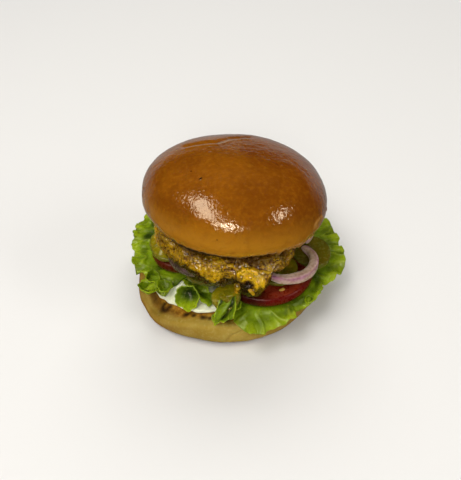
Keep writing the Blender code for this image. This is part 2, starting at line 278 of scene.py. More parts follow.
def add_piece(name, points, faces, paint, masks, place=(0, 0, 0), tilt=(0, 0, 0)):
    """A smooth mesh piece in metres with its material, riding on the burger. masks are values at each vertex."""
    mesh = bpy.data.meshes.new(name)
    turned = points.reshape(-1, 3) @ np.array(Euler(tilt).to_matrix()).T
    mesh.from_pydata((turned * MM).tolist(), [], faces)
    for label, values in masks.items():
        layer = mesh.attributes.new(label, "FLOAT", "POINT")
        layer.data.foreach_set("value", np.asarray(values, np.float32).ravel())
    mesh.shade_smooth()
    mesh.materials.append(paint)
    made = bpy.data.objects.new(name, mesh)
    made.location = [along * MM for along in place]
    bpy.context.scene.collection.objects.link(made)
    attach(made, "root")
    return made


def stand_for(piece, node):
    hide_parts(node)


def add_body(name, rings, paint, masks, place=(0, 0, 0), tilt=(0, 0, 0)):
    """A closed piece from rings of points, with a flat cap at each end."""
    rows, columns = rings.shape[:2]
    faces = ring_faces(rows, columns).tolist()
    faces.append(list(range(columns))[::-1])
    faces.append(list(range((rows - 1) * columns, rows * columns)))
    return add_piece(name, rings, faces, paint, masks, place, tilt)


def add_sheet(name, points, paint, masks, thickness, closed=False, place=(0, 0, 0), tilt=(0, 0, 0)):
    """A thin piece with its two sides half its thickness to each side of a grid of points."""
    rows, columns = points.shape[:2]
    faces = ring_faces(rows, columns) if closed else sheet_faces(rows, columns)
    made = add_piece(name, points, faces.tolist(), paint, masks, place, tilt)
    solid = made.modifiers.new("thickness", "SOLIDIFY")
    solid.thickness = thickness * MM
    solid.offset = 0.0
    return made


# Materials


def tint(code):
    """Linear colour from a six-digit code."""
    parts = [int(code[i : i + 2], 16) / 255.0 for i in (0, 2, 4)]
    return (*[p / 12.92 if p <= 0.04045 else ((p + 0.055) / 1.055) ** 2.4 for p in parts], 1.0)


def new_paint(name, settings):
    """A material with the shader's plain settings. Returns the material, its node tree and its shader."""
    paint = bpy.data.materials.new(name)
    paint.use_nodes = True
    tree = paint.node_tree
    shader = tree.nodes["Principled BSDF"]
    for socket, value in settings.items():
        shader.inputs[socket].default_value = value
    return paint, tree, shader


def node(tree, kind, inputs, **settings):
    made = tree.nodes.new("ShaderNode" + kind)
    for setting, value in settings.items():
        setattr(made, setting, value)
    for key, value in inputs.items():
        if isinstance(value, bpy.types.NodeSocket):
            tree.links.new(value, made.inputs[key])
        else:
            made.inputs[key].default_value = value
    return made


def mask(tree, label):
    return node(tree, "Attribute", {}, attribute_name=label).outputs["Fac"]


def cloud(tree, size, detail=3.0, roughness=0.5, warp=0.0):
    """Noise from 0 to 1 with blobs of about the given size in millimetres."""
    where = node(tree, "TexCoord", {}).outputs["Object"]
    inputs = {"Vector": where, "Scale": 1.0 / (size * MM), "Detail": detail, "Roughness": roughness, "Distortion": warp}
    return node(tree, "TexNoise", inputs).outputs["Fac"]


def specks(tree, size):
    """Distance to scattered points about the given size in millimetres apart, in sizes."""
    where = node(tree, "TexCoord", {}).outputs["Object"]
    return node(tree, "TexVoronoi", {"Vector": where, "Scale": 1.0 / (size * MM)}).outputs["Distance"]


def step(tree, value, low, high, to_low=0.0, to_high=1.0):
    """Maps low to high onto to_low to to_high, held at both ends."""
    inputs = {"Value": value, "From Min": low, "From Max": high, "To Min": to_low, "To Max": to_high}
    return node(tree, "MapRange", inputs, interpolation_type="SMOOTHSTEP").outputs["Result"]


def maths(tree, operation, a, b):
    return node(tree, "Math", {0: a, 1: b}, operation=operation).outputs[0]


def mix(tree, share, a, b):
    """Colour a where share is 0 and b where it is 1."""
    return node(tree, "Mix", {0: share, 6: a, 7: b}, data_type="RGBA").outputs[2]


def bump(tree, shader, height, distance, inputs=("Normal", "Coat Normal")):
    """Relief in the shading. distance is in millimetres."""
    made = node(tree, "Bump", {"Height": height, "Distance": distance * MM})
    for socket in inputs:
        tree.links.new(made.outputs["Normal"], shader.inputs[socket])


def finish_paint(tree, shader, colour, roughness):
    tree.links.new(colour, shader.inputs["Base Color"])
    tree.links.new(roughness, shader.inputs["Roughness"])


def crown_paint():
    gloss = {"Specular IOR Level": 0.85, "Specular Tint": (1.0, 0.80, 0.50, 1.0), "Coat Roughness": 0.08}
    glow = {"Subsurface Weight": 0.06, "Subsurface Scale": 0.002}
    paint, tree, shader = new_paint("crown crust", gloss | glow)
    brown = mix(tree, step(tree, cloud(tree, 24.0, 4.0), 0.35, 0.65), tint("8a4f0a"), tint("784108"))
    # light: a paler lower skirt, brightest at the front: partly the crust's own paler skirt, partly painted light on
    # the front.
    brown = mix(tree, mask(tree, "light"), brown, tint("b47a18"))
    # dark: painted shade on the right side of the crown.
    brown = mix(tree, mask(tree, "dark"), brown, tint("6e3204"))
    brown = mix(tree, step(tree, cloud(tree, 2.2, 4.0, 0.6), 0.42, 0.72, 0.0, 0.22), brown, tint("b87414"))
    brown = mix(tree, step(tree, cloud(tree, 3.4, 4.0, 0.6), 0.48, 0.74, 0.0, 0.26), brown, tint("6a3204"))
    dots = step(tree, specks(tree, 7.0), 0.04, 0.08, 0.9, 0.0)
    brown = mix(tree, maths(tree, "MULTIPLY", dots, step(tree, cloud(tree, 11.0), 0.50, 0.58)), brown, tint("3a1402"))
    # pale: paler crumb at the torn edge and scrapes, the paler lifted flake, painted sheen on the left rim and on the
    # flake, and a painted highlight along the ridge beside the fold.
    brown = mix(tree, mask(tree, "pale"), brown, tint("c8a05c"))
    crumb = mix(tree, cloud(tree, 1.2, 4.0), tint("b98c3c"), tint("d8b468"))
    crumb = mix(tree, step(tree, cloud(tree, 7.0, 4.0), 0.4, 0.6), crumb, tint("8a5218"))
    colour = mix(tree, mask(tree, "crumb"), brown, crumb)
    # burnt: burnt flecks and scorched bits, plus the dark line round the lowest edge, which is partly painted shade.
    colour = mix(tree, mask(tree, "burnt"), colour, tint("1c0a02"))
    bare = mask(tree, "bare")
    tree.links.new(step(tree, bare, 0.0, 0.6, 0.45, 0.0), shader.inputs["Coat Weight"])
    rough = step(tree, cloud(tree, 1.2, 4.0), 0.3, 0.7, 0.08, 0.20)
    rough = maths(tree, "ADD", rough, maths(tree, "MULTIPLY", bare, 0.5))
    finish_paint(tree, shader, colour, rough)
    grain = maths(tree, "ADD", cloud(tree, 1.5, 2.0, 0.5), cloud(tree, 3.4, 3.0, 0.5, 0.8))
    bump(tree, shader, grain, 0.17)
    return paint


def heel_paint():
    gloss = {"Specular IOR Level": 0.14, "Specular Tint": (1.0, 0.85, 0.5, 1.0)}
    glow = {"Subsurface Weight": 0.12, "Subsurface Scale": 0.003}
    paint, tree, shader = new_paint("heel crust", gloss | glow)
    side = mix(tree, step(tree, cloud(tree, 11.0, 4.0), 0.35, 0.65), tint("a0842f"), tint("ae9442"))
    side = mix(tree, step(tree, cloud(tree, 1.6, 4.0), 0.45, 0.8, 0.0, 0.4), side, tint("c6b264"))
    # tan: darker crust at the base, on the left and at the front right; at the base it is partly painted shade, and in
    # the groove inside the rim it is painted shade.
    side = mix(tree, mask(tree, "tan"), side, tint("74460c"))
    toast = mix(tree, step(tree, cloud(tree, 1.8, 4.0, 0.6), 0.3, 0.7), tint("865812"), tint("b07e26"))
    toast = mix(tree, step(tree, cloud(tree, 6.0, 4.0, 0.6), 0.42, 0.62, 0.0, 0.7), toast, tint("623608"))
    colour = mix(tree, mask(tree, "toast"), side, toast)
    colour = mix(tree, mask(tree, "char"), colour, tint("201004"))
    finish_paint(tree, shader, colour, step(tree, cloud(tree, 2.0), 0.3, 0.7, 0.48, 0.68))
    bump(tree, shader, cloud(tree, 0.8, 5.0, 0.65), 0.14)
    return paint


def sauce_paint():
    gloss = {"Specular IOR Level": 0.4, "Coat Weight": 0.2, "Coat Roughness": 0.12}
    glow = {"Subsurface Weight": 0.3, "Subsurface Scale": 0.003, "Subsurface Radius": (1.0, 0.95, 0.6)}
    paint, tree, shader = new_paint("mayonnaise", gloss | glow)
    colour = mix(tree, cloud(tree, 4.0, 3.0), tint("ebeec2"), tint("f8fae2"))
    finish_paint(tree, shader, colour, step(tree, cloud(tree, 1.5), 0.3, 0.7, 0.20, 0.36))
    bump(tree, shader, cloud(tree, 1.4, 3.0), 0.10)
    return paint


def leaf_paint():
    gloss = {"Specular IOR Level": 0.42, "Specular Tint": (1.0, 1.0, 0.6, 1.0)}
    glow = {"Subsurface Weight": 0.2, "Subsurface Scale": 0.002, "Subsurface Radius": (0.7, 1.0, 0.1)}
    paint, tree, shader = new_paint("lettuce", gloss | glow)
    green = mix(tree, step(tree, cloud(tree, 8.0, 4.0), 0.35, 0.65), tint("5e740a"), tint("78900e"))
    # deep and hollow are painted shade. rim is pale: along the leaves partly their own paler edge and partly painted
    # light, on the curls, cup and scrap a painted highlight.
    green = mix(tree, mask(tree, "deep"), green, tint("2c4006"))
    green = mix(tree, mask(tree, "rim"), green, tint("a2b418"))
    green = mix(tree, mask(tree, "vein"), green, tint("b4bc38"))
    green = mix(tree, mask(tree, "hollow"), green, tint("121e03"))
    finish_paint(tree, shader, green, step(tree, cloud(tree, 1.5), 0.3, 0.7, 0.24, 0.40))
    bump(tree, shader, cloud(tree, 0.8, 4.0, 0.6), 0.07)
    return paint


def tomato_paint():
    gloss = {"Specular IOR Level": 0.35, "Specular Tint": (1.0, 0.8, 0.7, 1.0), "Coat Weight": 0.07}
    glow = {"Coat Roughness": 0.1, "Subsurface Weight": 0.2, "Subsurface Scale": 0.002}
    paint, tree, shader = new_paint("tomato", gloss | glow)
    flesh = mix(tree, step(tree, cloud(tree, 3.0, 4.0), 0.35, 0.7), tint("70200e"), tint("883016"))
    flesh = mix(tree, mask(tree, "gel"), flesh, tint("6a1a08"))
    flesh = mix(tree, mask(tree, "seed"), flesh, tint("b08a3c"))
    skin = mix(tree, cloud(tree, 6.0, 3.0), tint("5a0a05"), tint("6a120a"))
    colour = mix(tree, mask(tree, "skin"), flesh, skin)
    # Painted shade over a whole slice that lies in shadow.
    colour = mix(tree, mask(tree, "dull"), colour, tint("4e1c08"))
    colour = mix(tree, mask(tree, "shade"), colour, tint("280603"))
    finish_paint(tree, shader, colour, step(tree, cloud(tree, 1.5), 0.3, 0.7, 0.22, 0.40))
    bump(tree, shader, cloud(tree, 0.9, 4.0), 0.08)
    return paint


def pickle_paint():
    gloss = {"Specular IOR Level": 0.4, "Specular Tint": (1.0, 1.0, 0.75, 1.0), "Coat Weight": 0.3}
    glow = {"Coat Roughness": 0.08, "Subsurface Weight": 0.25, "Subsurface Scale": 0.002}
    paint, tree, shader = new_paint("pickle", gloss | glow)
    flesh = mix(tree, step(tree, cloud(tree, 3.2, 4.0), 0.3, 0.7), tint("7c7208"), tint("958610"))
    flesh = mix(tree, mask(tree, "core"), flesh, tint("746c08"))
    flesh = mix(tree, mask(tree, "seed"), flesh, tint("8f8430"))
    # Painted shade on slices that lie in shadow under the chicken and the crown.
    flesh = mix(tree, mask(tree, "dull"), flesh, tint("3e3c06"))
    colour = mix(tree, mask(tree, "skin"), flesh, tint("5c5e20"))
    finish_paint(tree, shader, colour, step(tree, cloud(tree, 1.5), 0.3, 0.7, 0.14, 0.32))
    bump(tree, shader, cloud(tree, 0.8, 4.0), 0.07)
    return paint


def onion_paint():
    gloss = {"Specular IOR Level": 0.4, "Coat Weight": 0.2, "Coat Roughness": 0.12}
    glow = {"Subsurface Weight": 0.3, "Subsurface Scale": 0.002, "Subsurface Radius": (1.0, 0.75, 0.7)}
    paint, tree, shader = new_paint("red onion", gloss | glow)
    flesh = mix(tree, step(tree, cloud(tree, 3.0, 3.0), 0.3, 0.7), tint("ae9478"), tint("c8b29e"))
    flesh = mix(tree, mask(tree, "blush"), flesh, tint("b27c90"))
    colour = mix(tree, mask(tree, "skin"), flesh, tint("7c3c62"))
    # Painted shade where the ring lies in shadow under the chicken.
    colour = mix(tree, mask(tree, "dull"), colour, tint("3c3022"))
    finish_paint(tree, shader, colour, step(tree, cloud(tree, 1.5), 0.3, 0.7, 0.20, 0.36))
    bump(tree, shader, cloud(tree, 0.8, 4.0), 0.06)
    return paint


def chicken_paint():
    gloss = {"Specular IOR Level": 0.40, "Specular Tint": (1.0, 0.88, 0.6, 1.0)}
    glow = {"Coat IOR": 1.62, "Coat Roughness": 0.05, "Subsurface Weight": 0.08, "Subsurface Scale": 0.002}
    paint, tree, shader = new_paint("fried coating", gloss | glow)
    gold = mix(tree, step(tree, cloud(tree, 6.0, 4.0, 0.6), 0.35, 0.65), tint("9e7204"), tint("b68e08"))
    gold = mix(tree, step(tree, cloud(tree, 2.6, 4.0, 0.7), 0.50, 0.62, 0.0, 0.7), gold, tint("8a4e06"))
    # bright: painted light on the crests and the curls of the knob; pit: painted shade in the pits and between the
    # curls.
    gold = mix(tree, mask(tree, "bright"), gold, tint("e6b60e"))
    gold = mix(tree, mask(tree, "pit"), gold, tint("3c1602"))
    gold = mix(tree, step(tree, cloud(tree, 1.1, 3.0, 0.7), 0.58, 0.65), gold, tint("2a1004"))
    gold = mix(tree, mask(tree, "shade"), gold, tint("3e1e05"))
    # char: burnt patches and the burnt spot, and along the lower edge a band that is partly painted shade.
    colour = mix(tree, mask(tree, "char"), gold, tint("140a04"))
    rough = step(tree, cloud(tree, 1.0, 3.0), 0.3, 0.7, 0.16, 0.44)
    rough = maths(tree, "SUBTRACT", rough, maths(tree, "MULTIPLY", mask(tree, "char"), 0.12))
    finish_paint(tree, shader, colour, rough)
    tree.links.new(step(tree, mask(tree, "shade"), 0.1, 0.7, 1.0, 0.1), shader.inputs["Coat Weight"])
    bump(tree, shader, cloud(tree, 0.8, 5.0, 0.7), 0.42, ["Normal"])
    return paint


# Heel and sauce

CREASE = ((-49.2, 5.0), (-47.7, 9.4), (-45.0, 11.2), (-42.5, 12.0), (-40.2, 12.1), (-36.6, 13.6))
CHAR_SPOTS = (
    (-22.8, -41.0, 2.8),
    (-19.0, -42.8, 2.2),
    (-13.7, -45.0, 2.8),
    (-10.0, -45.6, 2.0),
    (-2.3, -47.0, 3.4),
    (3.5, -47.5, 2.2),
)
CHAR_RING = (-34.3, -30.6, 2.6)


def shoulder_drop(angle):
    """How far the toasted face sinks towards its edge: the heel is pressed down at its left."""
    turned = angle % 360.0
    return SHOULDER_DROP * smooth(turned, 95.0, 185.0) * (1.0 - smooth(turned, 213.0, 253.0))


def heel_edge(angle):
    return HEEL_RADIUS * (1.0 + 0.008 * wave(angle, 2, 30.0) + 0.006 * wave(angle, 5, 80.0))


def heel_face(radius, angle):
    """Height of the toasted face."""
    share = radius / heel_edge(angle)
    sunk = shoulder_drop(angle) * smooth(share, SHOULDER_SHARE, 1.0)
    return HEEL_HEIGHT - sunk - 0.9 * smooth(share, 0.85, HEEL_RIM_SHARE)


def heel():
    angle = turn(420)
    edge = heel_edge(angle)
    rim = heel_face(edge * HEEL_RIM_SHARE, angle)
    rings = [polar(edge * share, angle, 0.0) for share in (0.1, 0.5, 0.8)]
    for lift in np.linspace(-90.0, 70.0, 64):
        turned = math.radians(lift)
        inset = HEEL_BASE_SHARE if lift < 0.0 else HEEL_RIM_SHARE
        share = inset + (1.0 - inset) * math.cos(turned)
        rings.append(polar(edge * share, angle, rim * (0.5 + 0.5 * math.sin(turned))))
    on_face = len(rings)
    for share in np.linspace(HEEL_RIM_SHARE, 0.30, 48):
        rings.append(polar(edge * share, angle, heel_face(edge * share, angle)))
    rings = np.array(rings)
    direction = np.broadcast_to(angle, rings.shape[:2])
    face = np.zeros(rings.shape[:2])
    face[on_face:] = 1.0
    free = smooth(rings[..., 2], 0.3, 3.0)
    relief = 0.45 * noise(rings, 16.0, 1) + 0.12 * layers(rings, 4.0, 2)
    crease = path_distance(np.radians((direction + 180.0) % 360.0 - 180.0) * 30.6, rings[..., 2], CREASE)
    relief -= 0.8 * np.exp(-((crease / 0.55) ** 2)) * (1.0 - face)
    across = np.hypot(rings[..., 0], rings[..., 1]) - 0.90 * edge - 0.9 * noise(rings, 7.0, 9)
    relief -= 0.5 * face * np.exp(-((across / 1.3) ** 2)) * near(direction, -150.0, 50.0)
    crumb = 0.22 * grains(rings, 1.3, 3) + 0.15 * noise(rings, 0.9, 4)
    rings = push(rings, free * (relief * (1.0 - 0.5 * face) - crumb * face))
    reach = np.hypot(rings[..., 0], rings[..., 1])
    # Darker towards the bottom, higher up at the left: partly the browned bottom crust, partly painted shade where the
    # heel curves under.
    top_of_base = 3.0 + 0.8 * noise(rings, 9.0, 5) + 2.6 * near(direction, -168.0, 36.0)
    base = (1.0 - smooth(rings[..., 2], 0.8, top_of_base)) * (1.0 - face)
    side = near(direction, -172.0, 52.0) * (0.9 + 0.3 * noise(rings, 8.0, 6))
    side *= 1.0 - 0.55 * smooth(rings[..., 2] - rim, -3.2, -1.4)
    ends = near(direction, -42.0, 24.0) * 0.45 * (1.0 - face)
    tan = np.clip(base + side + ends + 0.15 * noise(rings, 12.0, 7), 0.0, 1.0)
    inner = edge * 0.90 + 0.9 * noise(rings, 7.0, 9) + 0.4 * noise(rings, 2.0, 11)
    toast = face * (1.0 - smooth(reach, inner - 1.6, inner + 1.0)) * np.clip(0.95 + 0.4 * noise(rings, 5.0, 8), 0.0, 1.0)
    # groove darkens a line in the groove inside the rim: painted shade in the crease.
    groove = 0.5 * np.exp(-(((reach - inner) / 1.1) ** 2)) * near(direction, -158.0, 40.0)
    tan = np.clip(tan * (1.0 - 0.5 * face) + face * groove, 0.0, 1.0)
    char = np.zeros_like(face)
    wander = 1.1 * noise(rings, 2.4, 10)
    for x, y, size in CHAR_SPOTS:
        gap = np.hypot(rings[..., 0] - x, 1.5 * (rings[..., 1] - y)) + wander
        char = np.maximum(char, 1.0 - smooth(gap, 0.1 * size, 1.1 * size))
    x, y, size = CHAR_RING
    gap = np.hypot(rings[..., 0] - x, 1.2 * (rings[..., 1] - y)) + 0.5 * wander
    opening = smooth(rings[..., 0] - x + rings[..., 1] - y, 0.5, 2.5)
    char = np.maximum(char, np.exp(-(((gap - size) / 1.5) ** 2)) * (1.0 - 0.7 * opening))
    char *= smooth(rings[..., 2], 3.0, 7.0) * 0.95
    streak = face * np.exp(-(((reach - 47.3 + 0.6 * wander) / 1.6) ** 2)) * flat_near(direction, -150.0, 24.0)
    char = np.maximum(char, streak * (0.42 + 0.3 * noise(rings, 4.0, 12)))
    masks = {"tan": tan, "toast": np.clip(toast, 0.0, 1.0), "char": char}
    stand_for(add_body("heel_crust", rings, heel_paint(), masks), "bun_bottom")


def sauce_edge(angle):
    """The mayonnaise reaches furthest at the front left."""
    turned = angle % 360.0
    reach = 42.0 + 3.0 * smooth(turned, 185.0, 205.0) * (1.0 - smooth(turned, 252.0, 268.0))
    return reach + 0.5 * wave(angle, 9, 10.0)


def sauce():
    angle = turn(280)
    edge = sauce_edge(angle) + 0.7 * noise(polar(40.0, angle, 0.0), 5.0, 3)
    steps = [(share, 0.0) for share in np.linspace(0.60, 0.96, 5)]
    for lift in np.linspace(-80.0, 90.0, 16):
        turned = math.radians(lift)
        steps.append((0.975 + 0.025 * math.cos(turned), 0.5 + 0.5 * math.sin(turned)))
    steps += [(share, 1.0) for share in np.linspace(0.965, 0.35, 34)]
    rings = []
    for share, lift in steps:
        height = heel_face(edge * share, angle) + SEAT_GAP + SAUCE_THICKNESS * lift
        rings.append(polar(edge * share, angle, height))
    rings = np.array(rings)
    upper = np.array([lift for share, lift in steps])[:, None]
    relief = upper * (0.6 * noise(rings, 7.0, 1) + 0.3 * noise(rings, 3.0, 2))
    rings = push(rings, relief)
    stand_for(add_body("mayonnaise_layer", rings, sauce_paint(), {}), "mayonnaise")


# Lettuce


def tomato_reach(angle):
    """How far the right tomato slice reaches from the burger's middle in each direction."""
    place = np.hypot(*TOMATO_RIGHT_PLACE)
    aside = np.radians(angle - np.degrees(np.arctan2(TOMATO_RIGHT_PLACE[1], TOMATO_RIGHT_PLACE[0])))
    inside = np.maximum(TOMATO_RADIUS**2 - (place * np.sin(aside)) ** 2, 0.0)
    return place * np.cos(aside) + np.sqrt(inside)


def leaf_right_edge(angle):
    reach = 58.2 + 8.6 * smooth(angle, -30.0, -8.0) - 5.0 * smooth(angle, 30.0, 80.0)
    lobes = 0.8 * near(angle, -74.0, 6.0) + 1.0 * near(angle, -57.0, 4.0) + 1.2 * near(angle, -35.0, 4.0)
    notches = 9.0 * near(angle, -90.0, 6.0) + 1.5 * near(angle, -53.0, 2.5) + 1.5 * near(angle, 6.0, 4.0)
    return reach + lobes - notches + 0.8 * wave(angle, 17, 3.0)


def leaf_right_bed(angle):
    """How far the leaf is pressed flat, under the tomato."""
    return np.maximum(tomato_reach(angle) + 0.5, 42.0)


def leaf_right_wave(angle):
    return (1.2 + 0.9 * smooth(angle, -40.0, 0.0)) * wave(angle, 15, -10.0)


def leaf_right_droop(angle):
    """This leaf hangs over the heel at the front and rises at the back."""
    return 1.2 + 3.6 * near(angle, -72.0, 16.0) - 4.6 * smooth(angle, 30.0, 85.0)


def leaf_right_frill(angle):
    """This leaf is calm at the front and frilled along the right."""
    return 0.4 + 0.8 * smooth(angle, -62.0, -40.0)


def leaf_left_frill(angle):
    """This leaf is most frilled at its front."""
    return 0.9 + 0.5 * smooth(angle, 180.0, 200.0)


def leaf_left_edge(angle):
    reach = 53.0 + 10.0 * near(angle, 146.0, 24.0) + 4.5 * near(angle, 112.0, 18.0)
    notches = 4.0 * near(angle, 196.0, 3.5) + 9.0 * smooth(angle, 208.0, 219.0)
    return reach - notches + 0.7 * wave(angle, 19, 0.0)


def leaf_left_bed(angle):
    return 44.5 - 11.0 * smooth(angle, 190.0, 212.0)


def leaf_left_wave(angle):
    return 1.3 * wave(angle, 16, 4.0)


def leaf_left_droop(angle):
    """This leaf rises at the back and sinks onto the heel's low shoulder at the front left."""
    rise = 3.4 * (1.0 - smooth(angle, 105.0, 150.0)) + 1.0 * near(angle, 160.0, 20.0)
    return 2.4 * smooth(angle, 188.0, 210.0) - rise


def leaf_masks(points, free, seed):
    """Ribs, a pale rim that is partly the leaf's own paler edge and partly painted light, and patches of painted shade
    that deepen towards the pressed middle. free is 0 where it is pressed and 1 at its edge.
    """
    web = np.abs(noise(points * np.array((1.0, 1.0, 0.3)), 9.0, seed)) + 0.05 * noise(points, 2.0, seed + 1)
    vein = (1.0 - smooth(web, 0.0, 0.05)) * 0.30
    rim = smooth(free, 0.45, 1.0) * (0.6 + 0.4 * noise(points, 6.0, seed + 2))
    deep = smooth(noise(points, 8.0, seed + 3), 0.0, 0.55) * (1.0 - 0.6 * free) * 0.75
    return web, {"vein": vein, "rim": np.clip(rim, 0.0, 1.0), "deep": np.clip(deep, 0.0, 1.0)}


def frill(points, direction, free, calm, ripples, seed):
    """The free edge thrown into folds that lean over each other, and into ripples. calm and ripples are their sizes."""
    circle = polar(50.0, direction, 0.0)
    phase = np.radians(direction * FRILL_COUNT) + 4.0 * noise(circle, 16.0, seed)
    size = free**2.2 * (0.9 + 0.9 * noise(circle, 12.0, seed + 1)) * calm
    outward = polar(1.0, direction, 0.0)
    along = np.stack([-outward[..., 1], outward[..., 0], outward[..., 2]], -1)
    lean = -FRILL_LEAN * size * np.sin(2.0 * phase)
    reach = free**2 * (0.5 * np.cos(phase) + 0.7 * noise(circle, 2.2, seed + 2))
    points = points + along * lean[..., None] + outward * reach[..., None]
    ripple = np.radians(direction * RIPPLE_COUNT) + 5.0 * noise(circle, 9.0, seed + 3)
    ripple = free**4 * np.sin(ripple) * (0.6 + 0.8 * noise(circle, 14.0, seed + 4)) * ripples
    points[..., 2] += FRILL_HEIGHT * size * np.sin(phase) + RIPPLE_HEIGHT * ripple
    points[..., 2] += 1.6 * free * noise(circle + 6.0 * free[..., None], 9.0, seed + 6) * (1.4 - ripples)
    return points, np.sin(phase) * size + 0.6 * ripple


def leaf(name, node_name, first, last, edge, bed, ruffle, droop, calm, ripples, seed):
    """A leaf that runs flat from the middle to its bed, then droops and waves more towards its free edge."""
    angle = np.linspace(first, last, int((last - first) / 0.42))
    free = np.concatenate([np.zeros(16), np.linspace(0.0, 1.0, 54)])[:, None]
    pressed = np.concatenate([np.linspace(0.10, 0.97, 16), np.ones(54)])[:, None]
    radius = bed(angle) * pressed + (edge(angle) - bed(angle)) * free
    height = LEAF_MID_HEIGHT + free**1.5 * ruffle(angle) - free**2 * droop(angle)
    points = polar(radius, angle, height)
    free = np.broadcast_to(free, points.shape[:2])
    direction = np.broadcast_to(angle, free.shape)
    points, fold = frill(points, direction, free, calm(direction), ripples, seed + 5)
    web, masks = leaf_masks(points, free, seed)
    # deep gets more painted shade in patches and on the under side of the folds, and the rim is dimmed there.
    shadow = 0.8 * smooth(noise(points * np.array((1.0, 1.0, 0.2)), 10.0, seed + 7), 0.05, 0.5)
    masks["deep"] = np.clip(masks["deep"] + smooth(-fold, 0.1, 0.9) * 0.6 + shadow, 0.0, 1.0)
    masks["rim"] = np.clip(masks["rim"] * (1.0 - 0.5 * smooth(-fold, 0.1, 0.9)), 0.0, 1.0)
    blister = 0.7 * smooth(web, 0.0, 0.30) + 0.5 * noise(points, 4.5, seed + 4)
    points = push(points, blister * smooth(free, 0.0, 0.3), closed=False)
    stand_for(add_sheet(name, points, leaf_paint(), masks, LEAF_THICKNESS), node_name)


def leaf_curl(name, half, depth, lean, place, tilt, seed):
    """A curled tip of leaf: a small open cup, higher at its front by lean, with a wavy rim."""
    angle = turn(84)
    rim = half * (1.0 + 0.07 * wave(angle, 3, 40.0 + 30.0 * seed) + 0.05 * wave(angle, 7, 10.0 * seed))
    share = np.linspace(0.06, 1.0, 26)[:, None]
    height = -depth * (1.0 - share**2.2) + lean * share**3 * wave(angle, 1, 270.0)
    points = polar(rim * share**0.8, angle, height)
    share = np.broadcast_to(share, points.shape[:2])
    points = push(points, share**3 * 0.12 * half * noise(points, 0.7 * half, seed))
    web, masks = leaf_masks(points, share, seed)
    # Painted shade in the middle of the curl and a painted highlight on the front of its rim.
    masks["deep"] = (1.0 - smooth(share, 0.30, 0.95)) * 0.2 * depth
    masks["rim"] = smooth(share, 0.75, 1.0) * 0.45 * smooth(-points[..., 1], -half, half)
    return add_sheet(name, points, leaf_paint(), masks, SCRAP_THICKNESS, True, place, tilt)


def lettuce_curls():
    """Curled tips on the leaves: a round ear and two lobes at the left, a pocket in front and a small one at the right."""
    curls = (
        ("leaf_ear", 3.8, 4.4, 0.8, (-41.5, -18.8, 21.2), (0.40, 0.20, 0.0)),
        ("leaf_lobe_low", 5.4, 2.7, 1.4, (-43.6, -25.6, 20.0), (0.10, 0.35, 0.5)),
        ("leaf_lobe_inner", 4.2, 2.5, 1.0, (-34.8, -25.4, 20.4), (0.30, 0.20, -0.3)),
        ("leaf_pocket", 3.1, 3.6, -0.9, (2.8, -43.0, 22.4), (0.95, 0.15, 0.0)),
        ("leaf_lobe_right", 2.2, 2.4, 0.4, (41.2, -39.8, 20.2), (0.45, -0.30, 0.0)),
        ("leaf_scrap_tip", 2.5, 2.6, 0.6, (-7.0, -49.6, 19.6), (0.60, -0.20, 0.0)),
    )
    for seed, (name, half, depth, lean, place, tilt) in enumerate(curls):
        leaf_curl(name, half, depth, lean, place, tilt, 50 + seed)


def lettuce_cup():
    """A curled leaf tip, hollow towards the front, with a scalloped rim."""
    angle = turn(160)
    rim = 6.2 + 0.25 * wave(angle, 5, 270.0) + 1.2 * near(angle, 285.0, 22.0) + 0.18 * wave(angle, 13, 0.0)
    share = np.linspace(0.04, 1.0, 44)[:, None]
    points = polar(rim * share, angle, -CUP_DEPTH * (1.0 - share**2.4))
    points[..., 0] += 0.9 * (1.0 - share**2)
    points[..., 1] += 1.3 * (1.0 - share**2)
    share = np.broadcast_to(share, points.shape[:2])
    folds = 0.5 * share**2 * wave(angle, 8, 262.0) * near(angle, 270.0, 75.0)
    points = push(points, share**3 * 0.4 * noise(points, 2.6, 3) + 0.25 * noise(points, 4.0, 4) + folds)
    web, masks = leaf_masks(points, share, 21)
    # Painted shade inside the cup, darkest in its hollow and in the folds, and a painted highlight along its lower lip
    # and rim.
    gap = np.hypot(points[..., 0] - 1.2, points[..., 1] - 2.4) + 0.7 * noise(points, 2.0, 5)
    masks["hollow"] = 0.95 * (1.0 - smooth(gap, 0.8, 3.6)) * (1.0 - smooth(share, 0.86, 0.97))
    masks["deep"] = (1.0 - smooth(gap, 2.0, 7.5)) * (1.0 - smooth(share, 0.88, 0.98)) + 0.4 * np.clip(-2.0 * folds, 0.0, 1.0)
    masks["rim"] = np.clip(smooth(-points[..., 1], 0.5, 5.0) * 0.8 + 0.2 * smooth(share, 0.94, 1.0), 0.0, 1.0)
    made = add_sheet("lettuce_curl", points, leaf_paint(), masks, SCRAP_THICKNESS, True, CUP_PLACE, CUP_TILT)
    stand_for(made, "lettuce_cup")


FOLD_ROWS = (
    (-1.0, 3.9, -46.2, 28.2),
    (-1.5, 4.8, -49.1, 27.1),
    (-2.5, 5.4, -50.9, 24.4),
    (-3.6, 5.0, -51.6, 21.4),
    (-5.6, 2.8, -51.5, 18.2),
)
FOLD_SLANT = 1.4


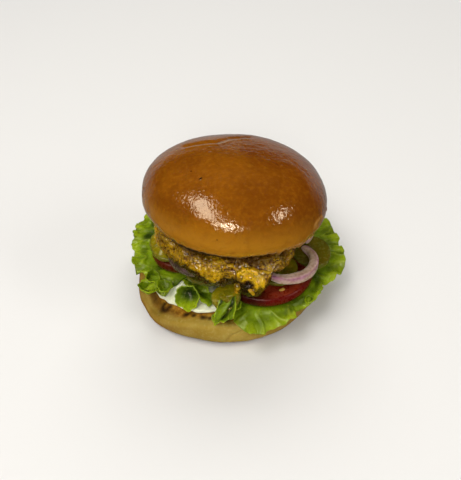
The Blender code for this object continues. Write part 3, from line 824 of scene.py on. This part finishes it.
def lettuce_fold():
    """A scrap of leaf that laps over the front pickle and hangs to a tip at the heel's rim."""
    across = np.linspace(-1.0, 1.0, 90)
    table = np.array(FOLD_ROWS)
    down = np.linspace(0.0, 1.0, 90)
    rows = []
    for at in down * (len(FOLD_ROWS) - 1):
        middle, half, y, z = [np.interp(at, range(len(table)), table[:, k]) for k in range(4)]
        bulge = 1.0 * across**2 - 1.3 * np.cos(3.7 * across + 0.9 * at)
        rows.append(np.stack([middle + half * across, y + bulge, z + FOLD_SLANT * across], -1))
    points = np.array(rows)
    border = np.maximum(np.abs(across)[None, :], smooth(down, 0.7, 1.0)[:, None])
    points = push(points, 1.0 * noise(points, 4.6, 4) * (0.4 + 0.6 * border), closed=False)
    points[..., 2] += 0.9 * border**4 * noise(points, 2.4, 5)
    web, masks = leaf_masks(points, border, 33)
    # Painted shade in the valleys, deepest in their bottoms, and a painted highlight along the border.
    valley = smooth(-np.cos(3.7 * across[None, :] + 0.9 * 4.0 * down[:, None]), -0.3, 0.8)
    masks["deep"] = 0.9 * valley * (1.0 - smooth(border, 0.8, 1.0))
    masks["hollow"] = 0.7 * smooth(valley, 0.75, 1.0) * (1.0 - smooth(border, 0.7, 0.9))
    masks["rim"] = 0.8 * smooth(border, 0.88, 1.0) * (1.0 - 0.5 * valley)
    stand_for(add_sheet("lettuce_scrap", points, leaf_paint(), masks, SCRAP_THICKNESS), "lettuce_fold")


def lettuce_shred():
    """A narrow scrap that lies from under the pickles out onto the mayonnaise."""
    start, end = np.array((-22.5, -20.5, 19.6)), np.array((-8.8, -39.4, 19.4))
    run = (end - start) / np.linalg.norm(end - start)
    side = np.array((-run[1], run[0], 0.0))
    across = np.linspace(-1.0, 1.0, 80)[:, None]
    rows = []
    for along in np.linspace(0.0, 1.0, 110):
        half = 4.2 * (0.5 + 0.5 * np.sin(np.pi * (0.1 + 0.8 * along))) * (1.0 + 0.12 * np.cos(15.0 * along))
        lift = 1.1 * across**2 + 1.0 * np.cos(15.0 * along - 1.5 * across) * np.abs(across)
        rows.append(start + (end - start) * along + side * half * across + np.array((0.0, 0.0, 1.0)) * lift)
    points = np.array(rows)
    border = np.broadcast_to(np.abs(across[:, 0]), points.shape[:2])
    points = push(points, 1.0 * noise(points, 3.2, 6) * border, closed=False)
    points = points + side * (0.8 * border**3 * noise(points, 2.4, 7))[..., None]
    web, masks = leaf_masks(points, border, 41)
    # More painted shade along the middle of the strip.
    masks["deep"] = np.clip(masks["deep"] + 0.7 * smooth(noise(points, 5.0, 8), 0.0, 0.5) * (1.0 - border), 0.0, 1.0)
    stand_for(add_sheet("lettuce_strip", points, leaf_paint(), masks, SCRAP_THICKNESS), "lettuce_shred")


def lettuce():
    right = (leaf_right_edge, leaf_right_bed, leaf_right_wave, leaf_right_droop, leaf_right_frill, 0.9)
    leaf("leaf_right", "lettuce_right", -88.0, 96.0, *right, 2)
    left = (leaf_left_edge, leaf_left_bed, leaf_left_wave, leaf_left_droop, leaf_left_frill, 0.4)
    leaf("leaf_left", "lettuce_left", 102.0, 219.0, *left, 12)
    lettuce_curls()
    lettuce_cup()
    lettuce_fold()
    lettuce_shred()


# Slices: tomato, pickle and red onion


def slice_rings(edge, angle, thickness, round_over):
    """Rings of a flat slice, and each ring's share of the way out on its upper face (1 on the side and below)."""
    rings = [polar((edge - round_over) * share, angle, 0.0) for share in (0.1, 0.5, 0.85)]
    outs = [1.0, 1.0, 1.0]
    for turned in np.radians(np.linspace(-90.0, 90.0, 16)):
        reach = edge - round_over * (1.0 - math.cos(turned))
        rings.append(polar(reach, angle, thickness * (0.5 + 0.5 * math.sin(turned))))
        outs.append(1.0)
    for share in np.linspace(0.98, 0.02, 34):
        rings.append(polar((edge - round_over) * share, angle, thickness))
        outs.append(share)
    return np.array(rings), np.broadcast_to(np.array(outs)[:, None], (len(rings), len(angle)))


def oval(angle, long_half, short_half, direction):
    """Radius of an oval whose long half-axis points in the given direction."""
    turned = np.radians(angle - direction)
    return long_half * short_half / np.hypot(short_half * np.cos(turned), long_half * np.sin(turned))


def tomato(name, node_name, edge, angle, place, seed, dull):
    rings, out = slice_rings(edge, angle, TOMATO_THICKNESS, 0.22 * TOMATO_THICKNESS)
    direction = np.broadcast_to(angle, out.shape)
    spoke = np.abs(np.sin(np.radians(direction * 3.0 + 25.0 * seed) + 0.3 * noise(rings, 9.0, seed)))
    pocket = smooth(out, 0.22, 0.34) * (1.0 - smooth(out, 0.76, 0.86)) * smooth(spoke, 0.25, 0.5)
    pip = pocket * (1.0 - smooth(grains(rings * np.array((1.0, 1.0, 0.4)), 4.0, seed), 0.20, 0.30))
    rings = push(rings, 0.12 * layers(rings, 5.0, seed) - 0.5 * pocket + 0.35 * pip)
    skin = smooth(out, 0.985, 1.0) * smooth(rings[..., 2], -1.0, 0.2)
    under_knob = np.hypot(rings[..., 0] + place[0] - 6.0, rings[..., 1] + place[1] + 42.0)
    shade = 0.85 * (1.0 - smooth(under_knob + 2.0 * noise(rings, 6.0, seed), 6.0, 17.0))
    masks = {"gel": pocket, "skin": skin, "seed": pip, "shade": shade, "dull": dull + 0.0 * pip}
    stand_for(add_body(name, rings, tomato_paint(), masks, place), node_name)


def tomatoes():
    angle = turn(240)
    right = TOMATO_RADIUS * (1.0 + 0.008 * wave(angle, 3, 20.0))
    tomato("tomato_slice_right", "tomato_right", right, angle, (*TOMATO_RIGHT_PLACE, TOMATO_BASE), 3, 0.0)
    left = oval(angle, 24.0, 19.5, 61.0)
    # The left slice lies in shadow and is darkened with painted shade.
    tomato("tomato_slice_left", "tomato_left", left, angle, (-22.6, 5.6, TOMATO_BASE), 4, 0.75)
    tomato_pip()


def tomato_pip():
    """One pale seed that lies on the right slice."""
    lifts = np.radians(np.linspace(-85.0, 85.0, 24))
    rings = np.array([polar(np.cos(lift), turn(40), np.sin(lift)) for lift in lifts])
    rings = (rings + 0.1 * noise(rings, 0.8, 2)[..., None]) * np.array((1.7, 0.9, 0.5))
    masks = {"seed": np.ones(rings.shape[:2]), "skin": np.zeros(rings.shape[:2]), "gel": np.zeros(rings.shape[:2])}
    made = add_body("tomato_pip", rings, tomato_paint(), masks, (27.2, -37.9, 26.0), (0.0, 0.0, 0.25))


def swelling(points):
    """How far the left pickle's upper face swells near its front tip, where it catches the light."""
    away = np.hypot(points[..., 0] + 2.5, points[..., 1] + 6.5)
    return 3.4 * np.exp(-((away / 4.4) ** 2)) * smooth(points[..., 2], 0.6, PICKLE_THICKNESS)


def pickles():
    angle = turn(150)
    wobble = 1.0 + 0.03 * wave(angle, 3, 40.0)
    paint = pickle_paint()
    for seed, (name, long_half, short_half, direction, place, tilt, dull) in enumerate(PICKLES):
        edge = oval(angle, long_half, short_half, direction) * wobble
        rings, out = slice_rings(edge, angle, PICKLE_THICKNESS, 0.22 * PICKLE_THICKNESS)
        around = np.broadcast_to(angle, out.shape)
        lobes = np.abs(np.sin(np.radians(around * 1.5 + 40.0 * seed)))
        core = (1.0 - smooth(out, 0.40, 0.60)) * smooth(lobes, 0.1, 0.5)
        seeds = core * (1.0 - smooth(grains(rings, 2.4, seed), 0.16, 0.30))
        rings = push(rings, 0.12 * layers(rings, 3.5, seed) + 0.12 * seeds - 0.12 * core)
        if name == "pickle_left":
            rings[..., 2] += swelling(rings)
        skin = smooth(out, 0.93, 1.0) * (0.6 + 0.4 * smooth(-rings[..., 2], -PICKLE_THICKNESS, 0.0))
        masks = {"core": core * (1.0 - dull), "seed": seeds, "skin": skin, "dull": dull + 0.0 * core}
        stand_for(add_body(name + "_slice", rings, paint, masks, place, tilt), name)


def onion_section(size, count):
    """The rounded cut through an onion ring, as (outwards, up) pairs."""
    corners = np.radians(turn(count) + 180.0)
    outwards = np.sign(np.cos(corners)) * np.abs(np.cos(corners)) ** 0.6
    upwards = np.sign(np.sin(corners)) * np.abs(np.sin(corners)) ** 0.6
    return 0.5 * ONION_WALL * size * outwards, 0.5 * ONION_HEIGHT * size * upwards


def onion_masks(rings, radius):
    """Blush on the lower outer half, and a purple streak along it."""
    out = np.hypot(rings[..., 0], rings[..., 1]) - radius
    up = rings[..., 2]
    blush = np.exp(-(((out - up - 0.8) / 1.8) ** 2)) * (0.75 + 0.5 * noise(rings, 5.0, 3))
    streak = np.exp(-(((out - up - 0.3 + 0.7 * noise(rings, 7.0, 5)) / 0.6) ** 2)) * smooth(noise(rings, 6.0, 4), -0.6, 0.0)
    line = 0.7 * np.exp(-(((out - 0.5) / 0.35) ** 2)) * smooth(up, 1.2, 2.2)
    skin = smooth(out - up, 4.2, 5.0) * 0.4 + 0.6 * streak + 0.5 * line
    return {"blush": np.clip(blush, 0.0, 1.0), "skin": np.clip(skin, 0.0, 1.0)}


def onion_relief(rings, radius):
    """A groove between two layers of the ring, and soft lumps."""
    out = np.hypot(rings[..., 0], rings[..., 1]) - radius
    groove = 0.45 * np.exp(-(((out - 0.5) / 0.3) ** 2)) * smooth(np.abs(rings[..., 2]), 1.5, 2.4)
    return 0.15 * layers(rings, 5.0, 6) - groove


def onion_arc(name, node_name, radius, first, last, place, paint):
    """Part of a red onion ring, with tapered round ends."""
    angle = np.linspace(first - 3.5, last + 3.5, int((last - first) / 1.0))
    end = np.minimum(angle - first + 3.5, last + 3.5 - angle)
    taper = 0.68 + 0.32 * smooth(end, 0.0, 70.0)
    size = taper * np.sqrt(1.0 - (1.0 - np.clip(end / 14.0, 0.02, 1.0)) ** 2)
    rings = []
    for direction, share, thin in zip(angle, size, taper):
        outwards, upwards = onion_section(share, 44)
        rings.append(polar(radius + outwards, direction, upwards - 0.5 * ONION_HEIGHT * (1.0 - thin)))
    rings = np.array(rings)
    rings = push(rings, -onion_relief(rings, radius))
    masks = onion_masks(rings, radius)
    made = add_body(name, rings, paint, masks, (*place, ONION_BASE + 0.5 * ONION_HEIGHT))
    stand_for(made, node_name)


def onion_ring(name, node_name, radius, place, paint):
    """A whole red onion ring, darkened with painted shade where it pokes out under the chicken."""
    outwards, upwards = onion_section(1.0, 44)
    rings = np.array([polar(radius + outwards, direction, upwards) for direction in turn(240)])
    rings = push(np.concatenate([rings, rings[:1]]), -onion_relief(np.concatenate([rings, rings[:1]]), radius))[:-1]
    rows, columns = rings.shape[:2]
    faces = ring_faces(rows + 1, columns) % (rows * columns)
    masks = onion_masks(rings, radius)
    # Painted shade over the ring, which lies in shadow under the chicken.
    masks["dull"] = 0.85 + 0.15 * noise(rings, 4.0, 7)
    made = add_piece(name, rings, faces.tolist(), paint, masks, (*place, ONION_BASE + 0.5 * ONION_HEIGHT))
    stand_for(made, node_name)


def onions():
    paint = onion_paint()
    onion_arc("onion_arc_front", "onion_front", 14.2, -136.0, 46.0, (31.2, -21.9), paint)
    onion_arc("onion_arc_back", "onion_back", 14.7, -44.0, 100.0, (32.4, 3.6), paint)
    onion_ring("onion_ring_left", "onion_left", 15.2, (-14.8, -12.6), paint)


# Chicken and crown


def crown_underside(x, y):
    """Height of the plane of the crown's cut face."""
    middle = CROWN_CENTRE[2] - CROWN_SKIRT
    return middle - np.tan(CROWN_TILT[1]) * (x - CROWN_CENTRE[0]) + np.tan(CROWN_TILT[0]) * (y - CROWN_CENTRE[1])


def knob(angle):
    """1 across the knob of crust at the front right, 0 elsewhere."""
    return flat_near(angle, KNOB_DIRECTION, 11.5)


def chicken_edge(angle, lift):
    """The fillet's outline, with a knob of crust that hangs at the front right."""
    edge = CHICKEN_RADIUS + 3.0 * near(angle, -46.0, 18.0) - 1.6 * near(angle, -150.0, 22.0)
    out = 6.0 * knob(angle) * (1.0 - smooth(lift, 0.35, 0.75))
    return edge + out + 0.5 * wave(angle, 7, 0.0)


def chicken_sag(angle):
    """How far the underside hangs at its edge."""
    sag = FRONT_SAG * flat_near(angle, -101.0, 13.0) + BACK_SAG * flat_near(angle, 127.0, 48.0)
    return sag + KNOB_DROP * knob(angle)


def chicken_top(x, y):
    """The top lies under the crown and falls away from it at the front."""
    return crown_underside(x, y) - 0.6 - 7.5 * smooth(-y, 0.0, 38.0) * smooth(x, -40.0, -10.0)


def chicken_rings(angle):
    """The fillet's smooth form: its profile, softened, carried round its outline."""
    profile = np.array(CHICKEN_PROFILE)
    steps = np.concatenate([np.linspace(0, 3, 12), np.linspace(3, 8, 92)[1:], np.linspace(8, 10, 20)[1:]])
    rings = []
    for at in steps:
        spread = at + np.array((-0.35, 0.0, 0.35))
        share = np.interp(spread, range(len(profile)), profile[:, 0]).mean()
        lift = np.interp(spread, range(len(profile)), profile[:, 1]).mean()
        radius = chicken_edge(angle, lift) * share
        x, y = radius * np.cos(np.radians(angle)), radius * np.sin(np.radians(angle))
        low = CHICKEN_BASE - chicken_sag(angle) * smooth(share, 0.80, 0.95) * (1.0 - smooth(lift, 0.2, 0.7))
        rings.append(polar(radius, angle, low + (chicken_top(x, y) - low) * lift))
    return np.array(rings)


def swirl(points):
    """Curled ridges of coating round the burnt spot on the knob, as (relief, how close to the spot)."""
    away = points - np.array(BURNT_SPOT)
    gap = np.linalg.norm(away, axis=-1)
    side = smooth(away @ np.array((0.8, 0.2, 0.55)), -2.5, 1.0)
    ridges = np.exp(-(((gap - 4.4) / 1.1) ** 2)) + 0.9 * np.exp(-(((gap - 7.8) / 1.2) ** 2))
    ragged = gap + 0.9 * noise(points, 1.8, 12)
    return 1.5 * side * ridges - 0.9 * np.exp(-((gap / 2.2) ** 2)), 1.0 - smooth(ragged, 1.9, 2.9)


def coating(points, seed):
    """Knobbly fried coating, as (relief, how deep in a pit, how high on a crest)."""
    bent = points + 1.3 * np.stack([noise(points, 5.0, seed + k) for k in range(3)], -1)
    lumps = np.abs(noise(bent, 5.5, seed + 3))
    knots = np.abs(noise(bent, 2.6, seed + 4))
    crumbs = np.abs(noise(bent, 1.3, seed + 5))
    relief = 0.9 * noise(points, 11.0, seed + 6) + 1.2 * lumps + 1.0 * knots + 0.6 * crumbs - 0.8
    high = 0.7 * lumps + 1.0 * knots + 0.9 * crumbs
    return relief, 1.0 - smooth(high, 0.18, 0.58), smooth(high, 0.55, 1.05)


def chicken():
    angle = turn(640)
    rings = chicken_rings(angle)
    reach = np.hypot(rings[..., 0], rings[..., 1])
    outer = smooth(reach, 24.0, 32.0)
    relief, pit, crest = coating(rings, 1)
    curls, spot = swirl(rings)
    calm = 1.0 - 0.6 * np.exp(-((np.linalg.norm(rings - np.array(BURNT_SPOT), axis=-1) / 7.0) ** 2))
    flank = smooth(angle % 360.0, 292.0, 312.0)
    floor = CHICKEN_BASE - chicken_sag(angle)
    height = rings[..., 2] - floor
    rings = push(rings, outer * (relief * calm + curls))
    # A dark band along the lower edge, tallest at the front: partly burnt coating, partly painted shade under the
    # fillet.
    front = flat_near(angle, -98.0, 47.0)
    band = 7.6 + 1.8 * noise(rings, 7.0, 8) + 1.2 * noise(rings, 2.5, 9) + 1.6 * knob(angle) - 3.5 * flank
    band = band * front + (1.4 + 1.5 * noise(rings, 6.0, 13)) * (1.0 - front)
    under = (1.0 - smooth(height, band - 2.2, band + 1.6)) * (0.6 + 0.4 * front)
    inside = np.hypot(rings[..., 0] - CROWN_CENTRE[0], rings[..., 1] - CROWN_CENTRE[1]) + 0.8 * noise(rings, 4.0, 14)
    limit = 39.8 - 2.6 * near(angle, -95.0, 24.0)
    hidden = (1.0 - smooth(inside, limit - 1.4, limit + 1.4)) * flat_near(angle, -92.0, 54.0)
    below_top = rings[..., 2] - chicken_top(rings[..., 0], rings[..., 1])
    hidden *= smooth(below_top, -7.0, -4.0)
    brow = flat_near(angle, -130.0, 28.0) * smooth(below_top + 0.8 * noise(rings, 3.0, 16), -4.4, -2.4)
    hidden = np.maximum(hidden, brow)
    left = near(angle, -140.0, 26.0) * 0.6 * (0.7 + 0.6 * noise(rings, 6.0, 15))
    patches = smooth(noise(rings, 6.0, 10) + 0.6 * noise(rings, 2.0, 11), 0.55, 0.85) * 0.6
    char = np.clip(np.maximum(np.maximum(under * 0.92, patches), 0.95 * spot), 0.0, 1.0)
    right = 0.85 * flat_near(angle, -36.0, 23.0) * (0.8 + 0.5 * noise(rings, 6.0, 17))
    shade = np.clip(np.maximum(np.maximum(0.9 * hidden, left), right), 0.0, 1.0)
    # Painted light on the crests and curls, painted shade in the troughs between the curls.
    bright = np.clip(0.6 * crest + near(angle, KNOB_DIRECTION - 3.0, 15.0) * 0.9 * curls, 0.0, 1.0)
    trough = np.clip(0.75 - 1.3 * curls, 0.0, 0.75) * np.exp(-((np.linalg.norm(rings - np.array(BURNT_SPOT), axis=-1) / 7.5) ** 4))
    masks = {"pit": np.maximum(pit * calm, trough), "char": char, "shade": shade, "bright": bright}
    paint = chicken_paint()
    stand_for(add_body("fried_fillet", rings, paint, masks), "chicken_fillet")
    for name, top, tip, thick in COATING_DRIPS:
        drip(name, np.array(top), np.array(tip), thick, paint)


def drip(name, top, tip, thick, paint):
    """A finger of coating that hangs from the knob."""
    rings = []
    for part in np.linspace(-1.0, 1.0, 40):
        middle = top + (tip - top) * (0.5 + 0.5 * part)
        radius = thick * (1.0 - 0.25 * part) * math.sqrt(max(1.0 - part**6, 0.02))
        rings.append(middle + polar(radius, -turn(40), 0.0))
    rings = np.array(rings)
    rings = push(rings, 0.35 * np.abs(noise(rings, 1.6, 3)) + 0.2 * noise(rings, 3.0, 4) - 0.1)
    pit, char = smooth(noise(rings, 2.0, 5), 0.1, 0.5) * 0.6, smooth(noise(rings, 2.4, 6), 0.3, 0.7) * 0.7
    masks = {"pit": pit, "char": char, "shade": 0.0 * pit, "bright": 0.3 + 0.0 * pit}
    add_body(name, rings, paint, masks)


def crown_edge(angle):
    flat = 0.02 * near(angle, 125.0, 30.0)
    full = 0.02 * near(angle, 55.0, 30.0)
    return CROWN_RADIUS * (1.0 - flat + full)


def crown_rings(angle):
    """The tilted dome with its rounded skirt and flat cut face, and how torn and how bare of crust each ring is."""
    edge = crown_edge(angle)
    rings, torn, crumb = [], [], []
    for share in np.linspace(0.05, 0.92, 20):
        rings.append(polar(edge * share, angle, -CROWN_SKIRT))
        torn.append(smooth(share, 0.80, 0.92))
        crumb.append(1.0)
    for part in np.linspace(1.0, 0.0, 26):
        rings.append(polar(edge * (1.0 - 0.07 * part**2), angle, -CROWN_SKIRT * part))
        torn.append(smooth(part, 0.45, 1.0))
        crumb.append(smooth(part, 0.93, 1.0))
    for rise in np.radians(np.linspace(1.5, 87.5, 76)):
        share = math.cos(rise) ** (2.0 / CROWN_SQUARENESS)
        rings.append(polar(edge * share, angle, CROWN_RISE * math.sin(rise) ** (2.0 / CROWN_SQUARENESS)))
        torn.append(0.0)
        crumb.append(0.0)
    rings = np.array(rings)
    shape = rings.shape[:2]
    return rings, np.broadcast_to(np.array(torn)[:, None], shape), np.broadcast_to(np.array(crumb)[:, None], shape)


def crown_dents(points):
    """The shallow fold near the crown's top, with a ridge beside it."""
    flat, across = points[..., 0], points[..., 1]
    fold = path_distance(flat, across, CROWN_FOLD)
    ridge = path_distance(flat, across + 3.2, CROWN_FOLD)
    top = smooth(points[..., 2], 14.0, 20.0)
    return top * (0.35 * np.exp(-((ridge / 1.6) ** 2)) - 0.7 * np.exp(-((fold / 2.6) ** 2)))


def crown_ridge(points):
    """A painted highlight along the ridge beside the fold."""
    ridge = path_distance(points[..., 0], points[..., 1] + 2.6, CROWN_FOLD)
    return 0.5 * np.exp(-((ridge / 0.9) ** 2)) * smooth(points[..., 2], 14.0, 20.0)


def flecks(points):
    """Burnt specks that stand out of the crust."""
    total = np.zeros(points.shape[:-1])
    for x, y, z, size in CROWN_FLECKS:
        gap = np.linalg.norm(points - np.array((x, y, z)), axis=-1) + 0.25 * noise(points, 0.8, 14)
        total = np.maximum(total, 1.0 - smooth(gap, 0.5 * size, 1.2 * size))
    return total


def skin_flap(direction, height, points):
    """A flake of skin that has lifted at the torn right edge, as (flake, its rim)."""
    ragged = 0.25 * noise(points, 2.0, 15) + 0.12 * noise(points, 0.9, 16)
    gap = np.hypot((direction + 34.0 + 360.0 * (direction < 180.0) - 360.0) / 6.5, (height - 2.0) / 2.9) + ragged
    return 1.0 - smooth(gap, 0.85, 1.0), np.exp(-(((gap - 0.85) / 0.12) ** 2))


def crown():
    angle = turn(520)
    rings, torn, crumb = crown_rings(angle)
    direction = np.broadcast_to(angle, crumb.shape)
    rough_edge = near(angle, -34.0, 26.0)
    rim = polar(48.0, angle, 0.0)
    ragged = 0.35 + 1.3 * rough_edge + 0.5 * near(angle, -125.0, 24.0)
    tear = ragged * (layers(rim, 4.5, 1) + 0.6 * noise(rim, 1.6, 9) - 0.2)
    rings[..., 2] += torn * (tear - 1.3 * near(angle, -63.0, 1.6))
    height = rings[..., 2]
    wrinkle = np.stack([direction * 0.85, height * 0.22, 0.0 * height], -1)
    relief = 0.55 * noise(rings, 24.0, 2) + 0.10 * layers(rings, 7.0, 3, 4) + crown_dents(rings)
    side = near(direction, -8.0, 36.0) * (1.0 - smooth(height, 6.0, 20.0))
    relief += 0.12 * side * noise(wrinkle, 3.6, 4) * (1.0 - crumb)
    relief -= crumb * (0.5 * grains(rings, 1.6, 5) + 0.2 * noise(rings, 0.9, 6) - 0.4)
    low = 1.0 - smooth(height, -2.0, 13.0)
    scrape = smooth(noise(wrinkle, 1.7, 10) + 0.4 * rough_edge, 0.45, 0.8) * smooth(-height, -3.0, 5.0)
    # Paler lower skirt, brightest at the front: partly the crust's own colour, partly painted light.
    light = low * (0.35 + 0.55 * near(direction, -85.0, 60.0))
    # Painted shade on the right side, away from the key light.
    dark = 0.95 * near(direction, 14.0, 56.0) * (0.80 + 0.25 * noise(rings, 14.0, 7))
    # Painted sheen along the lower left rim. pale also takes the paler crumb at the torn edge and at the scrapes.
    bloom = near(direction, -160.0, 24.0) * (1.0 - smooth(np.abs(height + 1.0), 3.0, 8.0)) * (0.8 + noise(rings, 6.0, 12))
    pale = torn * rough_edge * (0.5 + 0.4 * noise(rings, 4.0, 8)) + 0.4 * scrape * rough_edge + 0.2 * bloom
    flap, flap_rim = skin_flap(direction, height, rings)
    fleck = flecks(rings)
    ragged_edge = -height + 1.0 * noise(rings, 3.0, 13) + 0.6 * noise(rings, 1.2, 17)
    scorch = flat_near(direction, -124.0, 26.0) * smooth(ragged_edge, 5.0, 6.0)
    # A dark line round the crown's lowest edge: partly its toasted cut edge, partly painted shade where it overhangs
    # the fillet.
    edge_line = 0.75 * smooth(ragged_edge, 6.4, 7.2) * (1.0 - rough_edge) * torn
    # The lifted flake is paler, partly its own translucent skin and partly painted sheen; its rim carries a painted
    # highlight.
    pale += 0.12 * flap + 0.35 * flap_rim
    rings = push(rings, relief + 0.6 * flap + 0.35 * fleck + 0.3 * scorch)
    # The ridge beside the fold gets a painted highlight.
    pale = np.clip((pale + crown_ridge(rings)) * (1.0 - crumb), 0.0, 1.0)
    burnt = np.clip(fleck + 0.7 * scorch * torn + edge_line, 0.0, 1.0)
    bare = np.clip(crumb + scorch * torn + edge_line, 0.0, 1.0)
    masks = {"pale": pale, "light": light, "dark": dark, "crumb": crumb, "burnt": burnt, "bare": bare}
    paint = crown_paint()
    made = add_body("crown_crust", rings, paint, masks, CROWN_CENTRE, CROWN_TILT)
    stand_for(made, "bun_top")


# Stage


def add_light(name, energy, size, place, long_side, mirrored=True):
    """A soft panel that faces the burger. One that isn't mirrored leaves no highlight on glossy crust."""
    away = (Vector(place) - Vector((0.0, 0.0, 0.06))).normalized()
    across = Vector(long_side)
    across = (across - away * across.dot(away)).normalized()
    lamp = bpy.data.lights.new(name, "AREA")
    lamp.energy = energy
    lamp.color = (1.0, 0.97, 0.93)
    lamp.shape = "RECTANGLE"
    lamp.size, lamp.size_y = size
    made = bpy.data.objects.new(name, lamp)
    made.visible_glossy = mirrored
    turned = Matrix((across, away.cross(across), away)).transposed()
    made.matrix_world = Matrix.Translation(place) @ turned.to_4x4()
    bpy.context.scene.collection.objects.link(made)


def room():
    """Dim all round, pale behind the floor, and with a bright horizon behind the burger that glossy crust mirrors."""
    world = bpy.data.worlds.new("studio")
    world.use_nodes = True
    tree = world.node_tree
    facing = node(tree, "SeparateXYZ", {"Vector": node(tree, "TexCoord", {}).outputs["Generated"]})
    horizon = step(tree, facing.outputs["Z"], 0.06, 0.22, HORIZON_GLOW, 0.0)
    behind = step(tree, facing.outputs["Y"], 0.30, 0.85)
    mirrored = maths(tree, "SUBTRACT", maths(tree, "MULTIPLY", horizon, behind), ROOM_GLOW)
    path = node(tree, "LightPath", {}).outputs
    glow = maths(tree, "MULTIPLY", path["Is Glossy Ray"], mirrored)
    glow = maths(tree, "ADD", glow, maths(tree, "MULTIPLY", path["Is Camera Ray"], BACKDROP_GLOW - ROOM_GLOW))
    background = tree.nodes["Background"]
    background.inputs["Color"].default_value = (1.0, 0.99, 0.97, 1.0)
    tree.links.new(maths(tree, "ADD", glow, ROOM_GLOW), background.inputs["Strength"])
    bpy.context.scene.world = world


def stage():
    mesh = bpy.data.meshes.new("floor")
    mesh.from_pydata([(-3, -3, -0.0003), (3, -3, -0.0003), (3, 3, -0.0003), (-3, 3, -0.0003)], [], [(0, 1, 2, 3)])
    paint, tree, shader = new_paint("pale floor", {"Roughness": 0.6, "Specular IOR Level": 0.0})
    shader.inputs["Emission Color"].default_value = (1.0, 0.99, 0.97, 1.0)
    away = node(tree, "VectorMath", {0: node(tree, "TexCoord", {}).outputs["Object"]}, operation="LENGTH").outputs["Value"]
    far = step(tree, away, 0.30, 1.30)
    tree.links.new(mix(tree, far, (0.80, 0.80, 0.79, 1.0), (0.0, 0.0, 0.0, 1.0)), shader.inputs["Base Color"])
    tree.links.new(maths(tree, "MULTIPLY", far, BACKDROP_GLOW), shader.inputs["Emission Strength"])
    mesh.materials.append(paint)
    floor = bpy.data.objects.new("floor", mesh)
    bpy.context.scene.collection.objects.link(floor)
    floor.visible_glossy = False
    room()
    add_light("back", 17.5, (1.8, 0.9), (0.10, 1.20, 1.45), (1.0, 0.0, 0.0), mirrored=False)
    add_light("key", 12.0, (1.22, 0.54), (-0.53, -0.38, 1.24), (0.1, -1.0, -0.25))
    add_light("low", 4.0, (0.56, 0.32), (-0.13, -1.14, 0.72), (0.45, -0.40, -0.50))
    add_light("spark", 1.7, (0.16, 0.10), (-0.02, -1.16, 0.73), (0.45, -0.40, -0.50))
    add_light("right", 2.9, (0.60, 0.16), (0.96, -0.41, 0.72), (0.15, -0.85, -0.51))


def camera():
    made = bpy.data.objects.new("camera", bpy.data.cameras.new("camera"))
    made.data.lens = CAMERA_LENS
    made.data.sensor_width = 36.0
    made.data.clip_start = 0.01
    back = Vector((0.0, -math.cos(CAMERA_RISE), math.sin(CAMERA_RISE)))
    across = Vector((0.0, 0.0, 1.0)).cross(back).normalized()
    turned = Matrix((across, back.cross(across), back)).transposed() @ Matrix.Rotation(CAMERA_ROLL, 3, "Z")
    place = (Vector(LOOK_AT) + back * CAMERA_DISTANCE) * MM
    made.matrix_world = Matrix.Translation(place) @ turned.to_4x4()
    bpy.context.scene.collection.objects.link(made)
    bpy.context.scene.camera = made


def main():
    bpy.context.scene.view_settings.view_transform = "Standard"
    camera()
    stage()
    heel()
    sauce()
    lettuce()
    tomatoes()
    pickles()
    onions()
    chicken()
    crown()


main()
